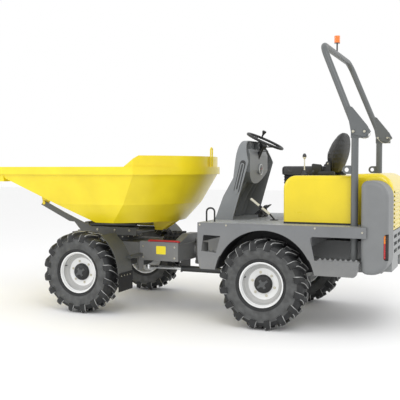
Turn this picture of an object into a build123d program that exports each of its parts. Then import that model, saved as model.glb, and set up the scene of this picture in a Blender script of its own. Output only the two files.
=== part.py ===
from build123d import *
import math
import os

os.makedirs("parts", exist_ok=True)

# Overall layout. X runs forward to the skip, Y to the left and Z up. The origin is on the
# ground under the articulation pivot, halfway along the machine.
overall_length = 4190
wheelbase = 1990
pivot_to_front_axle = 1040
track = 1500
running_gap = 0.3
moving_gap = 6
pin_clearance = 0.05

front_axle_x = pivot_to_front_axle
rear_axle_x = pivot_to_front_axle - wheelbase
front_end_x = overall_length / 2
rear_end_x = -overall_length / 2

# Tyres and wheels
tyre_radius = 422.5
tyre_width = 290
tyre_sides = 32
bead_sides = 16
tread_radius = 392
sidewall_radius = 310
lug_count = 16
lug_width = 44
lug_rake = 30
rim_seat_radius = 196
rim_well_radius = 206
rim_flange_radius = 214
rim_width = 230
rim_wall = 8
dish_radius = 152
wheel_disc_offset = 32
wheel_disc_thickness = 12
hub_radius = 90
hub_length = 150
stub_radius = 36
stub_length = 90

# Axles
axle_tube_radius = 58
axle_flange_radius = 105
axle_flange_thickness = 70
differential_radius = 150
axle_z = tyre_radius

# Rear chassis
rail_spacing = 420
rail_thickness = 20
rail_bottom_z = 500
rail_top_z = 800
cross_plate_thickness = 20
chassis_front_x = -305
chassis_rear_x = -1905
chassis_width = 1700
panel_thickness = 10
panel_bottom_z = 675
deck_top_z = 985
deck_thickness = 8
arch_radius = 482
arch_centre_z = 447
arch_liner_thickness = 5
arch_liner_depth = 240

# Steps and skirts
step_tread_z = 697
step_depth = 240
step_thickness = 6
skirt_bottom_z = 540
skirt_width = 70
front_step_rear_x = -560
rear_step_front_x = -1425
band_bottom_z = 888
skirt_corner_radius = 28
skirt_slope = 40
step_lap = 60

# Articulation
steer_angle = 37
pivot_pin_radius = 30
ear_thickness = 30
upper_ear_z = 715
lower_ear_z = 500
pivot_block_radius = 75
trunnion_radius = 60
trunnion_z = 620
trunnion_length = 90

# Roll over frame
post_radius = 32
post_spacing = 1400
post_x = -1772
post_top_z = 1775
fold_pin_x = -1861
fold_pin_z = 1828
lock_pin_x = -1763
fold_pin_radius = 12
fold_pin_length = 68
fold_head_length = 150
fold_head_height = 90
fold_head_thickness = 40
bar_radius = 30
bar_lean = 21
bar_top_z = 2635
bar_bend_radius = 130
beacon_stem_radius = 8
beacon_stem_length = 80
beacon_radius = 28
beacon_height = 75
bar_plate_thickness = 12
lifting_eye_x = -1700
lifting_eye_z = 1490
lifting_eye_radius = 38
lifting_eye_bore = 20
lifting_eye_thickness = 20
deck_loop_x = -381
deck_loop_half_length = 42
deck_loop_height = 132
deck_loop_bar_radius = 9

# Yellow seat box over the hydraulics
seat_box_front_x = -1096
seat_box_rear_x = -1742
seat_box_width = 1300
seat_box_top_z = 1436
seat_box_wall = 6
seat_box_front_radius = 120
seat_box_corner_radius = 30
plinth_height = 18
plinth_width = 25
plinth_step = 10
seat_recess_width = 470
seat_recess_z = 1345
seat_recess_rear_x = -1430

# Seat
seat_width = 470
seat_front_x = -935
seat_rear_x = -1415
cushion_bottom_z = 1433
cushion_thickness = 90
backrest_height = 400
backrest_thickness = 110
backrest_lean = 16
lever_x = -1230
lever_y = 380
lever_height = 180
gaiter_radius = 34
grip_radius = 20
seat_overhang = 75
backrest_corner_radius = 80
backrest_taper = 50
cushion_corner_radius = 60
backrest_edge_radius = 30

# Engine bay
bonnet_front_x = -1752
bonnet_rear_x = rear_end_x + 17
bonnet_width = 988
bonnet_top_z = 1462
bonnet_bottom_z = 936
bonnet_wall = 6
bonnet_rear_top_radius = 150
bonnet_edge_radius = 55
louvre_rows = 9
louvre_pitch = 40
louvre_width = 360
louvre_height = 18
louvre_column_y = 215
louvre_first_z = 965
bonnet_hinge_x = -1753
bonnet_hinge_z = 1436
hinge_y = 300
hinge_width = 40
hinge_radius = 7
hinge_pin_radius = 3
bumper_top_z = 928
bumper_bottom_z = 560
pod_front_x = -1850
pod_rear_x = rear_end_x + 7
pod_inner_y = 500
pod_outer_y = 836
pod_bottom_z = 567
pod_top_z = 1394
pod_top_radius = 140
pod_bottom_radius = 105
pod_edge_radius = 40
lamp_width = 46
lamp_depth = 60
lamp_bottom_z = 690
lamp_height = 240
lamp_split_z = 850
lamp_proud = 4
bumper_slot_width = 210
bumper_slot_height = 34
bumper_slot_depth = 40
engine_width = 500
engine_front_x = -1480
engine_rear_x = -1880
engine_bottom_z = 560
engine_top_z = 1200
engine_gap = 20
radiator_thickness = 70
filter_radius = 62
crankcase_share = 0.62
manifold_width = 130
manifold_height = 100

# Dash console
dash_half_width = 415
dash_top_half_width = 170
dash_shoulder_z = 1570
dash_shoulder_bulge = 0.72
dash_shoulder_rise = 0.64
dash_wall = 6
dash_foot_front_x = -312
dash_foot_rear_x = -501
dash_shin_x = -402
dash_shin_z = 1221
dash_knee_x = -509
dash_knee_z = 1407
dash_chest_x = -530
dash_back_x = -670
dash_top_front_x = -540
dash_top_rear_x = -592
dash_top_z = 1788
dash_rib_thickness = 8
dash_rib_depth = 65
dash_rib_y = (270, 140, -140, -270)
dash_panel_bottom_z = 1345
dash_panel_side_z = 1470
dash_panel_top_z = 1700
dash_panel_half_width = 290
dash_panel_inset = 25
dash_pad_low_x = -540
dash_pad_low_z = 1265
dash_pad_length = 320
dash_pad_width = 40
dash_pad_lean = 14
dash_pad_height = 6
gauge_radius = 58
gauge_length = 14
gauge_y = -30
gauge_z = 1492

# Steering wheel
wheel_centre_x = -710
wheel_centre_z = 1786
steering_wheel_radius = 195
steering_rim_radius = 14
column_tilt = 25
column_radius = 22
column_length = 330

# Front frame
front_box_front_x = 560
front_box_rear_x = 110
front_box_half_width = 400
front_box_bottom_z = 526
front_box_top_z = 703
box_lid_thickness = 22
lid_step = 4
bed_taper = 60
bed_rear_half_width = 300
bed_front_half_width = 260
bed_front_x = 1340
neck_half_width = 110
neck_top_z = 795
neck_length = 85
neck_inset = 20
lock_bar_rear_x = 112
lock_bar_front_x = 455
lock_bar_y = 380
lock_bar_radius = 10
valve_rear_x = 215
valve_front_x = 405
valve_half_width = 130
valve_height = 50
spool_radius = 22
spool_height = 30
slew_ring_radius = 260
slew_ring_height = 60
mudguard_outer_y = 890
mudguard_inner_y = 605
mudguard_thickness = 5
mudguard_gap = 70
mudguard_start_angle = 54
guard_bracket_length = 48
guard_bracket_height = 30
guard_bracket_lap = 60
flap_thickness = 6
flap_top_z = 442.5
flap_bottom_z = 255

# Swivel console
console_half_width = 340
console_plate = 16
console_bottom_z = 775
console_floor_offset = 60
console_floor_length = 700
console_floor_thickness = 20
console_tongue_length = 360
console_tongue_width = 240
console_tongue_offset = 300
console_tip_x = 1830
console_tip_z = 1110

# Tipping cylinder
tip_angle = 50
tip_base_x = 1450
tip_base_z = 850
tip_eye_x = 520
tip_eye_z = 862
tip_barrel_radius = 45
tip_barrel_length = 600
tip_rod_radius = 25
tip_eye_radius = 38
tip_eye_width = 60
tip_pin_radius = 18
tip_rod_eye_radius = 34
tip_rod_eye_width = 50
tip_ear_thickness = 14
tip_tube_start = 46

# Steering cylinder
steer_base_x = -500
steer_eye_x = 560
steer_cylinder_y = 200
steer_cylinder_z = 430
steer_barrel_radius = 32
steer_rod_radius = 18
steer_barrel_length = 620
steer_eye_radius = 28
steer_eye_height = 40
steer_pin_radius = 14
steer_ear_thickness = 14
steer_eye_drift = 56
steer_stroke = 130

# Skip
skip_half_width = 930
skip_rim_z = 1520
skip_band_height = 80
skip_band_stand_out = 25
skip_wall = 6
skip_bottom_z = 935
skip_crease_z = 1130
skip_crease_half_width = 805
skip_floor_half_width = 702
skip_rear_radius = 1155
skip_crease_radius = 950
skip_floor_radius = 775
skip_wall_top_z = 1632
raised_wall_run = 107
raised_wall_slope = 150
skip_knee_x = 920
skip_slope_top_x = 1942
skip_slope_top_z = 1400
lip_depth = 150
lip_height = 77
lug_thickness = 20
skip_eye_radius = 38
skip_pin_radius = 20
skip_bracket_y = 48
skip_bracket_thickness = 16
skip_loop_half_width = 24
skip_loop_height = 180
skip_loop_bar_radius = 8


def side_point(x, side):
    """Hub centre of a wheel."""
    return Vector(x, side * track / 2, axle_z)


def upright(y):
    """Upright lengthways plane at one Y: local x points forward and local y points up."""
    return Plane.XZ.offset(-y)


def outward_plane(x, side):
    """Plane through a wheel's axis: local x is radial and local y points outboard."""
    return Plane(origin=side_point(x, side), x_dir=(1, 0, 0), z_dir=(0, 0, side))


# Tyres: a flat sided carcass with raked lugs that lap from the tread over both shoulders
half_tyre = tyre_width / 2
half_rim = rim_width / 2
lug_run = half_tyre * math.tan(math.radians(lug_rake))
lug_corner = (lug_run + lug_width) / 2
lug_top = math.sqrt(tyre_radius**2 - lug_corner**2)
lug_turn = math.degrees(math.atan2(lug_corner, lug_top))
lug_root = tread_radius - 12
bead_radius = (rim_well_radius + running_gap) / math.cos(math.pi / bead_sides)
carcass_levels = (
    (half_rim - rim_wall - 1, rim_flange_radius + 3),
    (half_tyre - 5, sidewall_radius),
    (half_tyre - 25, tread_radius),
)
with BuildPart() as lug:
    with BuildSketch(Plane.YZ):
        with BuildLine():
            Polyline(
                (-6, lug_root), (-6, lug_top), (half_tyre - 30, lug_top), (half_tyre, tread_radius - 26),
                (half_tyre - 24, tread_radius - 50), close=True,
            )
        make_face()
    extrude(amount=lug_run + lug_width, both=True)
    with BuildSketch(Plane.XY):
        with BuildLine():
            Polyline(
                (-lug_run / 2 - lug_width / 2, -6), (-lug_run / 2 + lug_width / 2, -6),
                (lug_run / 2 + lug_width / 2, half_tyre), (lug_run / 2 - lug_width / 2, half_tyre),
                close=True,
            )
        make_face()
    extrude(amount=tyre_radius, mode=Mode.INTERSECT)

tyre_levels = [(-across, radius) for across, radius in carcass_levels]
tyre_levels += [(across, radius) for across, radius in reversed(carcass_levels)]
with BuildPart() as carcass:
    for across, radius in tyre_levels:
        with BuildSketch(Plane.XZ.offset(-across)):
            RegularPolygon(radius, tyre_sides, rotation=180 / tyre_sides)
    loft(ruled=True)
    with BuildSketch(Plane.XZ):
        RegularPolygon(bead_radius, bead_sides, rotation=180 / bead_sides)
    extrude(amount=tyre_width, both=True, mode=Mode.SUBTRACT)
    for turn in range(lug_count):
        turned = lug.part.rotate(Axis.Y, turn * 360 / lug_count + lug_turn)
        add(turned)
        add(turned.mirror(Plane.XZ).rotate(Axis.Y, 180 / lug_count))

# Wheels: the tyre on a deep dished rim with its hub
for axle_name, axle_x in (("front", front_axle_x), ("rear", rear_axle_x)):
    for side_name, side in (("left", 1), ("right", -1)):
        wheel_plane = outward_plane(axle_x, side)
        spin_axis = Axis(side_point(axle_x, side), (0, side, 0))
        with BuildPart() as tyre:
            add(carcass.part.moved(Location(side_point(axle_x, side))))
        tyre.part.label = f"{axle_name}_{side_name}_tyre"
        export_step(tyre.part, f"parts/{tyre.part.label}.step")

        with BuildPart() as rim:
            with BuildSketch(wheel_plane) as rim_section:
                with BuildLine():
                    Polyline(
                        (rim_flange_radius, half_rim),
                        (rim_flange_radius, half_rim - rim_wall),
                        (rim_well_radius, half_rim - rim_wall),
                        (rim_well_radius, -half_rim + rim_wall),
                        (rim_flange_radius, -half_rim + rim_wall),
                        (rim_flange_radius, -half_rim),
                        (rim_seat_radius + 8, -half_rim),
                        (rim_seat_radius, -half_rim + 30),
                        (rim_seat_radius, wheel_disc_offset - wheel_disc_thickness - 14),
                        (dish_radius, wheel_disc_offset - wheel_disc_thickness),
                        (hub_radius, wheel_disc_offset - wheel_disc_thickness),
                        (hub_radius, -hub_length / 2),
                        (0, -hub_length / 2),
                        (0, hub_length / 2),
                        (hub_radius - 12, hub_length / 2),
                        (hub_radius, hub_length / 2 - 12),
                        (hub_radius, wheel_disc_offset),
                        (dish_radius, wheel_disc_offset),
                        (rim_seat_radius - 20, wheel_disc_offset + 36),
                        (rim_seat_radius, wheel_disc_offset + 44),
                        (rim_seat_radius, half_rim - 30),
                        (rim_seat_radius + 8, half_rim),
                        close=True,
                    )
                make_face()
            revolve(axis=spin_axis)
            with BuildSketch(Plane(origin=side_point(axle_x, side) - Vector(0, side * hub_length / 2, 0),
                                   z_dir=(0, side, 0))):
                Circle(stub_radius + pin_clearance)
            extrude(amount=stub_length + 1, mode=Mode.SUBTRACT)
        rim.part.label = f"{axle_name}_{side_name}_rim"
        export_step(rim.part, f"parts/{rim.part.label}.step")

# Axles: a tube with a differential, end flanges and the stub shafts that carry the wheels
flange_outer_y = track / 2 - hub_length / 2 - running_gap
for axle_name, axle_x in (("front", front_axle_x), ("rear", rear_axle_x)):
    with BuildPart() as axle:
        with BuildSketch(Plane(origin=(axle_x, -flange_outer_y, axle_z), z_dir=(0, 1, 0))):
            Circle(axle_tube_radius)
        extrude(amount=2 * flange_outer_y)
        with Locations((axle_x, 0, axle_z)):
            Sphere(differential_radius)
        for side in (1, -1):
            with BuildSketch(Plane(origin=(axle_x, side * flange_outer_y, axle_z), z_dir=(0, -side, 0))):
                Circle(axle_flange_radius)
            extrude(amount=axle_flange_thickness)
            with BuildSketch(Plane(origin=(axle_x, side * flange_outer_y, axle_z), z_dir=(0, side, 0))):
                Circle(stub_radius)
            extrude(amount=stub_length)
    axle.part.label = f"{axle_name}_axle"
    export_step(axle.part, f"parts/{axle.part.label}.step")

# Rear frame: two rails tied by cross plates, on saddles over the axle
rail_front_x = -160
rail_rear_x = -1950
rail_length = rail_front_x - rail_rear_x
rail_height = rail_top_z - rail_bottom_z
rail_middle_z = (rail_top_z + rail_bottom_z) / 2
saddle_length = 120
saddle_width = 100
with BuildPart() as rear_frame:
    for side in (1, -1):
        with BuildSketch(upright(side * rail_spacing / 2)):
            with Locations(((rail_front_x + rail_rear_x) / 2 - cross_plate_thickness / 2, rail_middle_z)):
                Rectangle(rail_length - cross_plate_thickness, rail_height)
        extrude(amount=rail_thickness / 2, both=True)
    for cross_x in (rear_axle_x + 250, rear_axle_x - 250, rail_rear_x + cross_plate_thickness):
        with BuildSketch(Plane.YZ.offset(cross_x - cross_plate_thickness)):
            with Locations((0, rail_middle_z)):
                Rectangle(rail_spacing, rail_height)
        extrude(amount=cross_plate_thickness)
    for side in (1, -1):
        with BuildSketch(Plane.XY.offset(axle_z + axle_tube_radius)):
            with Locations((rear_axle_x, side * rail_spacing / 2)):
                Rectangle(saddle_length, saddle_width)
        extrude(amount=rail_bottom_z - axle_z - axle_tube_radius)
rear_frame.part.label = "rear_frame"
export_step(rear_frame.part, "parts/rear_frame.step")

# Outriggers: cross plates that carry the deck and the side panels
outrigger_width = chassis_width - 2 * panel_thickness
outrigger_lap = 20
with BuildPart() as outriggers:
    for outrigger_x in (chassis_front_x - 30, rear_step_front_x + 10):
        with BuildSketch(Plane.YZ.offset(outrigger_x)):
            with Locations((0, (rail_top_z + deck_top_z - deck_thickness) / 2)):
                Rectangle(outrigger_width, deck_top_z - deck_thickness - rail_top_z)
        extrude(amount=cross_plate_thickness / 2)
outriggers.part.label = "outriggers"
export_step(outriggers.part, "parts/outriggers.step")

# Articulation head: the front plate of the rear frame with the two ears of the steering pin
ear_root_half_width = 160
ear_tip_radius = 80
with BuildPart() as articulation_head:
    with BuildSketch(Plane.YZ.offset(rail_front_x - cross_plate_thickness)):
        with Locations((0, (rail_top_z + lower_ear_z - ear_thickness) / 2)):
            Rectangle(rail_spacing + rail_thickness, rail_top_z - lower_ear_z + ear_thickness)
    extrude(amount=cross_plate_thickness)
    for ear_z in (upper_ear_z, lower_ear_z - ear_thickness):
        with BuildSketch(Plane.XY.offset(ear_z)):
            with BuildLine():
                Polyline(
                    (rail_front_x, -ear_root_half_width), (0, -ear_tip_radius), (0, ear_tip_radius),
                    (rail_front_x, ear_root_half_width), close=True,
                )
            make_face()
            Circle(ear_tip_radius)
            Circle(pivot_pin_radius + pin_clearance, mode=Mode.SUBTRACT)
        extrude(amount=ear_thickness)
articulation_head.part.label = "articulation_head"
export_step(articulation_head.part, "parts/articulation_head.step")

# Steering bracket: a fork under the left rail with the pin of the steering cylinder
steer_ear_z = steer_cylinder_z + steer_eye_height / 2 + running_gap
fork_back_x = steer_base_x - steer_eye_radius - 40
with BuildPart() as steer_bracket:
    lower_fork_z = 2 * steer_cylinder_z - steer_ear_z - steer_ear_thickness
    for plate_z, plate_height in ((steer_ear_z, rail_bottom_z - steer_ear_z),
                                  (lower_fork_z, steer_ear_thickness)):
        with BuildSketch(Plane.XY.offset(plate_z)):
            with Locations((steer_base_x, steer_cylinder_y)):
                Circle(steer_eye_radius)
            with Locations(((steer_base_x + fork_back_x) / 2, steer_cylinder_y)):
                Rectangle(steer_base_x - fork_back_x, 2 * steer_eye_radius)
        extrude(amount=plate_height)
    with BuildSketch(Plane.XY.offset(2 * steer_cylinder_z - steer_ear_z)):
        with Locations((steer_base_x, steer_cylinder_y)):
            Circle(steer_pin_radius)
        with Locations((fork_back_x + cross_plate_thickness / 2, steer_cylinder_y)):
            Rectangle(cross_plate_thickness, 2 * steer_eye_radius)
    extrude(amount=2 * (steer_ear_z - steer_cylinder_z))
steer_bracket.part.label = "steer_bracket"
export_step(steer_bracket.part, "parts/steer_bracket.step")

# Pivot block: the steering pin and the trunnion on which the front frame rocks
with BuildPart() as pivot_block:
    with BuildSketch(Plane.XY.offset(lower_ear_z + running_gap)):
        Circle(pivot_block_radius)
    extrude(amount=upper_ear_z - lower_ear_z - 2 * running_gap)
    with BuildSketch(Plane.XY.offset(lower_ear_z - ear_thickness)):
        Circle(pivot_pin_radius)
    extrude(amount=upper_ear_z - lower_ear_z + 2 * ear_thickness)
    with BuildSketch(Plane.YZ.offset(0)):
        with Locations((0, trunnion_z)):
            Circle(trunnion_radius)
    extrude(amount=pivot_block_radius + running_gap + trunnion_length)
pivot_block.part.label = "pivot_block"
export_step(pivot_block.part, "parts/pivot_block.step")

# Front frame: hydraulic box, trunnion socket, axle saddles and the slew pedestal
socket_start_x = pivot_block_radius + 2 * running_gap + 3
pedestal_x = front_axle_x
slew_seat_z = console_bottom_z - slew_ring_height
with BuildPart() as front_frame:
    with BuildSketch(Plane.XY.offset(front_box_bottom_z)):
        with BuildLine():
            Polyline(
                (socket_start_x, -neck_half_width), (front_box_rear_x, -front_box_half_width),
                (front_box_front_x, -front_box_half_width),
                (front_box_front_x + bed_taper, -bed_rear_half_width),
                (bed_front_x, -bed_front_half_width), (bed_front_x, bed_front_half_width),
                (front_box_front_x + bed_taper, bed_rear_half_width),
                (front_box_front_x, front_box_half_width), (front_box_rear_x, front_box_half_width),
                (socket_start_x, neck_half_width), close=True,
            )
        make_face()
    extrude(amount=front_box_top_z - front_box_bottom_z)
    with BuildSketch(Plane.YZ.offset(socket_start_x)):
        with Locations((0, trunnion_z)):
            Circle(trunnion_radius + pin_clearance)
    extrude(amount=trunnion_length, mode=Mode.SUBTRACT)
    with BuildSketch(Plane.XY.offset(front_box_top_z)):
        with Locations((pedestal_x, 0)):
            Circle(slew_ring_radius - cross_plate_thickness)
    extrude(amount=slew_seat_z - front_box_top_z)
    with BuildSketch(Plane.XY.offset(front_box_top_z)):
        with Locations(((front_box_front_x + front_box_rear_x) / 2, 0)):
            Rectangle(front_box_front_x - front_box_rear_x, 2 * (front_box_half_width - lid_step))
    extrude(amount=box_lid_thickness)
    with BuildSketch(Plane.YZ.offset(front_box_rear_x)):
        with BuildLine():
            Polyline(
                (-front_box_half_width + neck_inset, front_box_top_z),
                (front_box_half_width - neck_inset, front_box_top_z),
                (neck_half_width, neck_top_z), (-neck_half_width, neck_top_z), close=True,
            )
        make_face()
    extrude(amount=neck_length)
    for side in (1, -1):
        with BuildSketch(Plane.XY.offset(axle_z + axle_tube_radius)):
            with Locations((front_axle_x, side * rail_spacing / 2)):
                Rectangle(saddle_length, saddle_width)
        extrude(amount=front_box_bottom_z - axle_z - axle_tube_radius)
    with Locations((front_axle_x, 0, axle_z)):
        Sphere(differential_radius + running_gap, mode=Mode.SUBTRACT)
    ear_web_x = steer_eye_x + steer_eye_drift + steer_eye_radius + moving_gap
    with BuildSketch(Plane.XY.offset(steer_cylinder_z - steer_eye_height)):
        with Locations((ear_web_x + cross_plate_thickness / 2, steer_cylinder_y)):
            Rectangle(cross_plate_thickness, 4 * steer_eye_radius)
    extrude(amount=front_box_bottom_z + 1 - steer_cylinder_z + steer_eye_height)
front_frame.part.label = "front_frame"
export_step(front_frame.part, "parts/front_frame.step")

# Lock bar: the loose strut that holds the steering joint, stowed on the lid of the box
box_lid_z = front_box_top_z + box_lid_thickness
with BuildPart() as lock_bar:
    with BuildSketch(Plane.YZ.offset(lock_bar_rear_x)):
        with Locations((lock_bar_y, box_lid_z + running_gap + lock_bar_radius)):
            RegularPolygon(lock_bar_radius, 8, major_radius=False, rotation=180 / 8)
    extrude(amount=lock_bar_front_x - lock_bar_rear_x)
    with BuildSketch(Plane.XY.offset(box_lid_z + running_gap)):
        for end_x in (lock_bar_rear_x, lock_bar_front_x):
            with Locations((end_x, lock_bar_y)):
                Circle(1.6 * lock_bar_radius)
                Circle(0.8 * lock_bar_radius, mode=Mode.SUBTRACT)
    extrude(amount=1.4 * lock_bar_radius)
lock_bar.part.label = "lock_bar"
export_step(lock_bar.part, "parts/lock_bar.step")

# Valve block: the hydraulic spools on the lid of the box under the skip
with BuildPart() as valve_block:
    with BuildSketch(Plane.XY.offset(box_lid_z + running_gap)):
        with Locations(((valve_front_x + valve_rear_x) / 2, 0)):
            Rectangle(valve_front_x - valve_rear_x, 2 * valve_half_width)
    extrude(amount=valve_height)
    with BuildSketch(Plane.XY.offset(box_lid_z + valve_height)):
        with Locations(((valve_front_x + valve_rear_x) / 2, 0)):
            with GridLocations(2.6 * spool_radius, 2.6 * spool_radius, 3, 4):
                RegularPolygon(spool_radius, 8)
    extrude(amount=spool_height)
valve_block.part.label = "valve_block"
export_step(valve_block.part, "parts/valve_block.step")

# Slew ring: the fixed bearing race on the pedestal
with BuildPart() as slew_ring:
    with BuildSketch(Plane.XY.offset(slew_seat_z)):
        with Locations((pedestal_x, 0)):
            Circle(slew_ring_radius)
    extrude(amount=slew_ring_height - running_gap)
slew_ring.part.label = "slew_ring"
export_step(slew_ring.part, "parts/slew_ring.step")

# Front mudguards with their rubber flaps
guard_radius = tyre_radius + mudguard_gap
guard_run = guard_radius * math.cos(math.radians(mudguard_start_angle))
with BuildPart() as mudguards:
    for side in (1, -1):
        middle_y = side * (mudguard_inner_y + mudguard_outer_y) / 2
        with BuildSketch(Plane.XZ.offset(-middle_y)):
            with Locations((front_axle_x, axle_z)):
                Circle(guard_radius + mudguard_thickness)
                Circle(guard_radius, mode=Mode.SUBTRACT)
            with Locations((front_axle_x + guard_radius - guard_run, axle_z)):
                Rectangle(2 * guard_radius, 3 * guard_radius, mode=Mode.SUBTRACT)
            with Locations((front_axle_x, axle_z - guard_radius)):
                Rectangle(3 * guard_radius, 2 * guard_radius, mode=Mode.SUBTRACT)
        extrude(amount=(mudguard_outer_y - mudguard_inner_y) / 2, both=True)
        with BuildSketch(Plane.XZ.offset(-side * (front_box_half_width + running_gap))):
            with Locations((front_box_front_x - guard_bracket_length / 4,
                            front_box_bottom_z + 2 * guard_bracket_height)):
                Rectangle(guard_bracket_length, guard_bracket_height)
        extrude(amount=-side * (mudguard_inner_y + guard_bracket_lap - front_box_half_width))
    with BuildSketch(Plane.XZ):
        with Locations((front_axle_x, axle_z)):
            Circle(guard_radius)
    extrude(amount=mudguard_outer_y + 1, both=True, mode=Mode.SUBTRACT)
mudguards.part.label = "mudguards"
export_step(mudguards.part, "parts/mudguards.step")

flap_x = front_axle_x - guard_radius - mudguard_thickness
with BuildPart() as mud_flaps:
    for side in (1, -1):
        middle_y = side * (mudguard_inner_y + mudguard_outer_y) / 2
        with BuildSketch(Plane.XY.offset(flap_bottom_z)):
            with Locations((flap_x - flap_thickness / 2, middle_y)):
                Rectangle(flap_thickness, mudguard_outer_y - mudguard_inner_y)
        extrude(amount=flap_top_z - flap_bottom_z)
mud_flaps.part.label = "mud_flaps"
export_step(mud_flaps.part, "parts/mud_flaps.step")

# Deck plate over the chassis with the holes for the posts
with BuildPart() as deck_plate:
    with BuildSketch(Plane.XY.offset(deck_top_z - deck_thickness)):
        with Locations(((chassis_front_x + chassis_rear_x) / 2, 0)):
            Rectangle(chassis_front_x - chassis_rear_x, outrigger_width)
        with Locations((post_x, post_spacing / 2), (post_x, -post_spacing / 2)):
            Circle(post_radius + running_gap, mode=Mode.SUBTRACT)
        with Locations(((engine_front_x + chassis_rear_x) / 2 - engine_gap, 0)):
            Rectangle(engine_front_x - chassis_rear_x + 2 * engine_gap, engine_width + 3 * engine_gap,
                      mode=Mode.SUBTRACT)
        with Locations((chassis_rear_x, 0)):
            Rectangle(2 * (bonnet_front_x - chassis_rear_x + engine_gap / 2), 2 * pod_inner_y,
                      mode=Mode.SUBTRACT)
            Rectangle(2 * (pod_front_x - chassis_rear_x) + 2, outrigger_width + 1, mode=Mode.SUBTRACT)
    extrude(amount=deck_thickness)
deck_plate.part.label = "deck_plate"
export_step(deck_plate.part, "parts/deck_plate.step")

# Deck loops: bent bars at the front corners of the deck for tying the machine down
with BuildPart() as deck_loops:
    for side in (1, -1):
        loop_foot_z = deck_top_z + running_gap
        with BuildLine() as hoop:
            FilletPolyline(
                (deck_loop_x - deck_loop_half_length, side * post_spacing / 2, loop_foot_z),
                (deck_loop_x - deck_loop_half_length, side * post_spacing / 2, deck_top_z + deck_loop_height),
                (deck_loop_x + deck_loop_half_length, side * post_spacing / 2, deck_top_z + deck_loop_height),
                (deck_loop_x + deck_loop_half_length, side * post_spacing / 2, loop_foot_z),
                radius=deck_loop_half_length - 4,
            )
        with BuildSketch(Plane(origin=hoop.line @ 0, z_dir=hoop.line % 0)):
            RegularPolygon(deck_loop_bar_radius, 8)
        sweep()
deck_loops.part.label = "deck_loops"
export_step(deck_loops.part, "parts/deck_loops.step")

# Side panels with the wheel arch, the front pocket and the rear step opening
with BuildPart() as side_panels:
    for side in (1, -1):
        with BuildSketch(upright(side * (chassis_width - panel_thickness) / 2)):
            with BuildLine():
                Polyline(
                    (chassis_front_x, deck_top_z), (chassis_rear_x, deck_top_z),
                    (chassis_rear_x, band_bottom_z), (rear_step_front_x, band_bottom_z),
                    (rear_step_front_x + 20, band_bottom_z - 18), (rear_step_front_x - 22, panel_bottom_z),
                    (chassis_front_x, panel_bottom_z), close=True,
                )
            make_face()
            with Locations((rear_axle_x - 15, arch_centre_z)):
                Circle(arch_radius, mode=Mode.SUBTRACT)
            with BuildLine():
                Polyline((-367, 868), (-541, 862), (-497, 700), (-345, 712), close=True)
            make_face(mode=Mode.SUBTRACT)
        extrude(amount=panel_thickness / 2, both=True)
        with BuildSketch(upright(side * (chassis_width - arch_liner_depth) / 2 - side * panel_thickness)):
            with Locations((rear_axle_x - 15, arch_centre_z)):
                Circle(arch_radius + arch_liner_thickness)
                Circle(arch_radius, mode=Mode.SUBTRACT)
            with Locations((rear_axle_x, panel_bottom_z - arch_radius)):
                Rectangle(3 * arch_radius, 2 * arch_radius, mode=Mode.SUBTRACT)
        extrude(amount=arch_liner_depth / 2, both=True)
side_panels.part.label = "side_panels"
export_step(side_panels.part, "parts/side_panels.step")

# Side steps: a tread with a skirt below it whose lower corners are rounded
step_inner_y = chassis_width / 2 - panel_thickness - step_depth
with BuildPart() as side_steps:
    for side in (1, -1):
        for step_front_x, step_rear_x in ((chassis_front_x, front_step_rear_x - step_lap),
                                          (rear_step_front_x + step_lap, pod_front_x)):
            with BuildSketch(Plane.XY.offset(panel_bottom_z - step_thickness)):
                with Locations(((step_front_x + step_rear_x) / 2,
                                side * (chassis_width / 2 - step_depth / 2))):
                    Rectangle(step_front_x - step_rear_x, step_depth)
            extrude(amount=step_thickness)
            with BuildSketch(upright(side * (chassis_width - skirt_width) / 2)) as skirt:
                with BuildLine():
                    Polyline(
                        (step_front_x, panel_bottom_z), (step_rear_x, panel_bottom_z),
                        (step_rear_x + skirt_slope, skirt_bottom_z),
                        (step_front_x - skirt_slope / 2, skirt_bottom_z),
                        close=True,
                    )
                make_face()
                fillet(skirt.vertices().group_by(Axis.Y)[0], radius=skirt_corner_radius)
            extrude(amount=skirt_width / 2, both=True)
    with BuildSketch(Plane.XZ):
        with Locations((rear_axle_x - 15, arch_centre_z)):
            Circle(arch_radius + arch_liner_thickness + 2)
    extrude(amount=chassis_width, both=True, mode=Mode.SUBTRACT)
side_steps.part.label = "side_steps"
export_step(side_steps.part, "parts/side_steps.step")

# Engine: crankcase and sump between the rails, cylinder head, radiator and air filter above them
engine_middle_x = (engine_front_x + engine_rear_x) / 2
with BuildPart() as engine_block:
    with BuildSketch(Plane.XY.offset(rail_top_z + running_gap)):
        with Locations((engine_middle_x, 0)):
            Rectangle(engine_front_x - engine_rear_x, engine_width * crankcase_share)
    extrude(amount=(engine_top_z - rail_top_z) * 0.7)
    with BuildSketch(Plane.XY.offset(engine_bottom_z)):
        with Locations((engine_middle_x + 60, 0)):
            Rectangle(engine_front_x - engine_rear_x - 160, rail_spacing - rail_thickness - 20)
    extrude(amount=rail_top_z + 1 - engine_bottom_z)
    with BuildSketch(Plane.XY.offset(rail_top_z + running_gap)):
        with Locations((engine_rear_x + radiator_thickness / 2, 0)):
            Rectangle(radiator_thickness, engine_width)
    extrude(amount=engine_top_z - rail_top_z)
    with BuildSketch(Plane.XZ.offset(engine_width / 2 - 2 * engine_gap)):
        with Locations((engine_middle_x + engine_gap, engine_top_z - filter_radius)):
            Circle(filter_radius)
    extrude(amount=-engine_width + 4 * engine_gap)
    with BuildSketch(Plane.XY.offset(engine_top_z - 150)):
        with Locations((engine_middle_x + engine_gap, 0)):
            Rectangle(engine_front_x - engine_rear_x - 2 * radiator_thickness, manifold_width)
    extrude(amount=manifold_height)
engine_block.part.label = "engine_block"
export_step(engine_block.part, "parts/engine_block.step")

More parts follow.
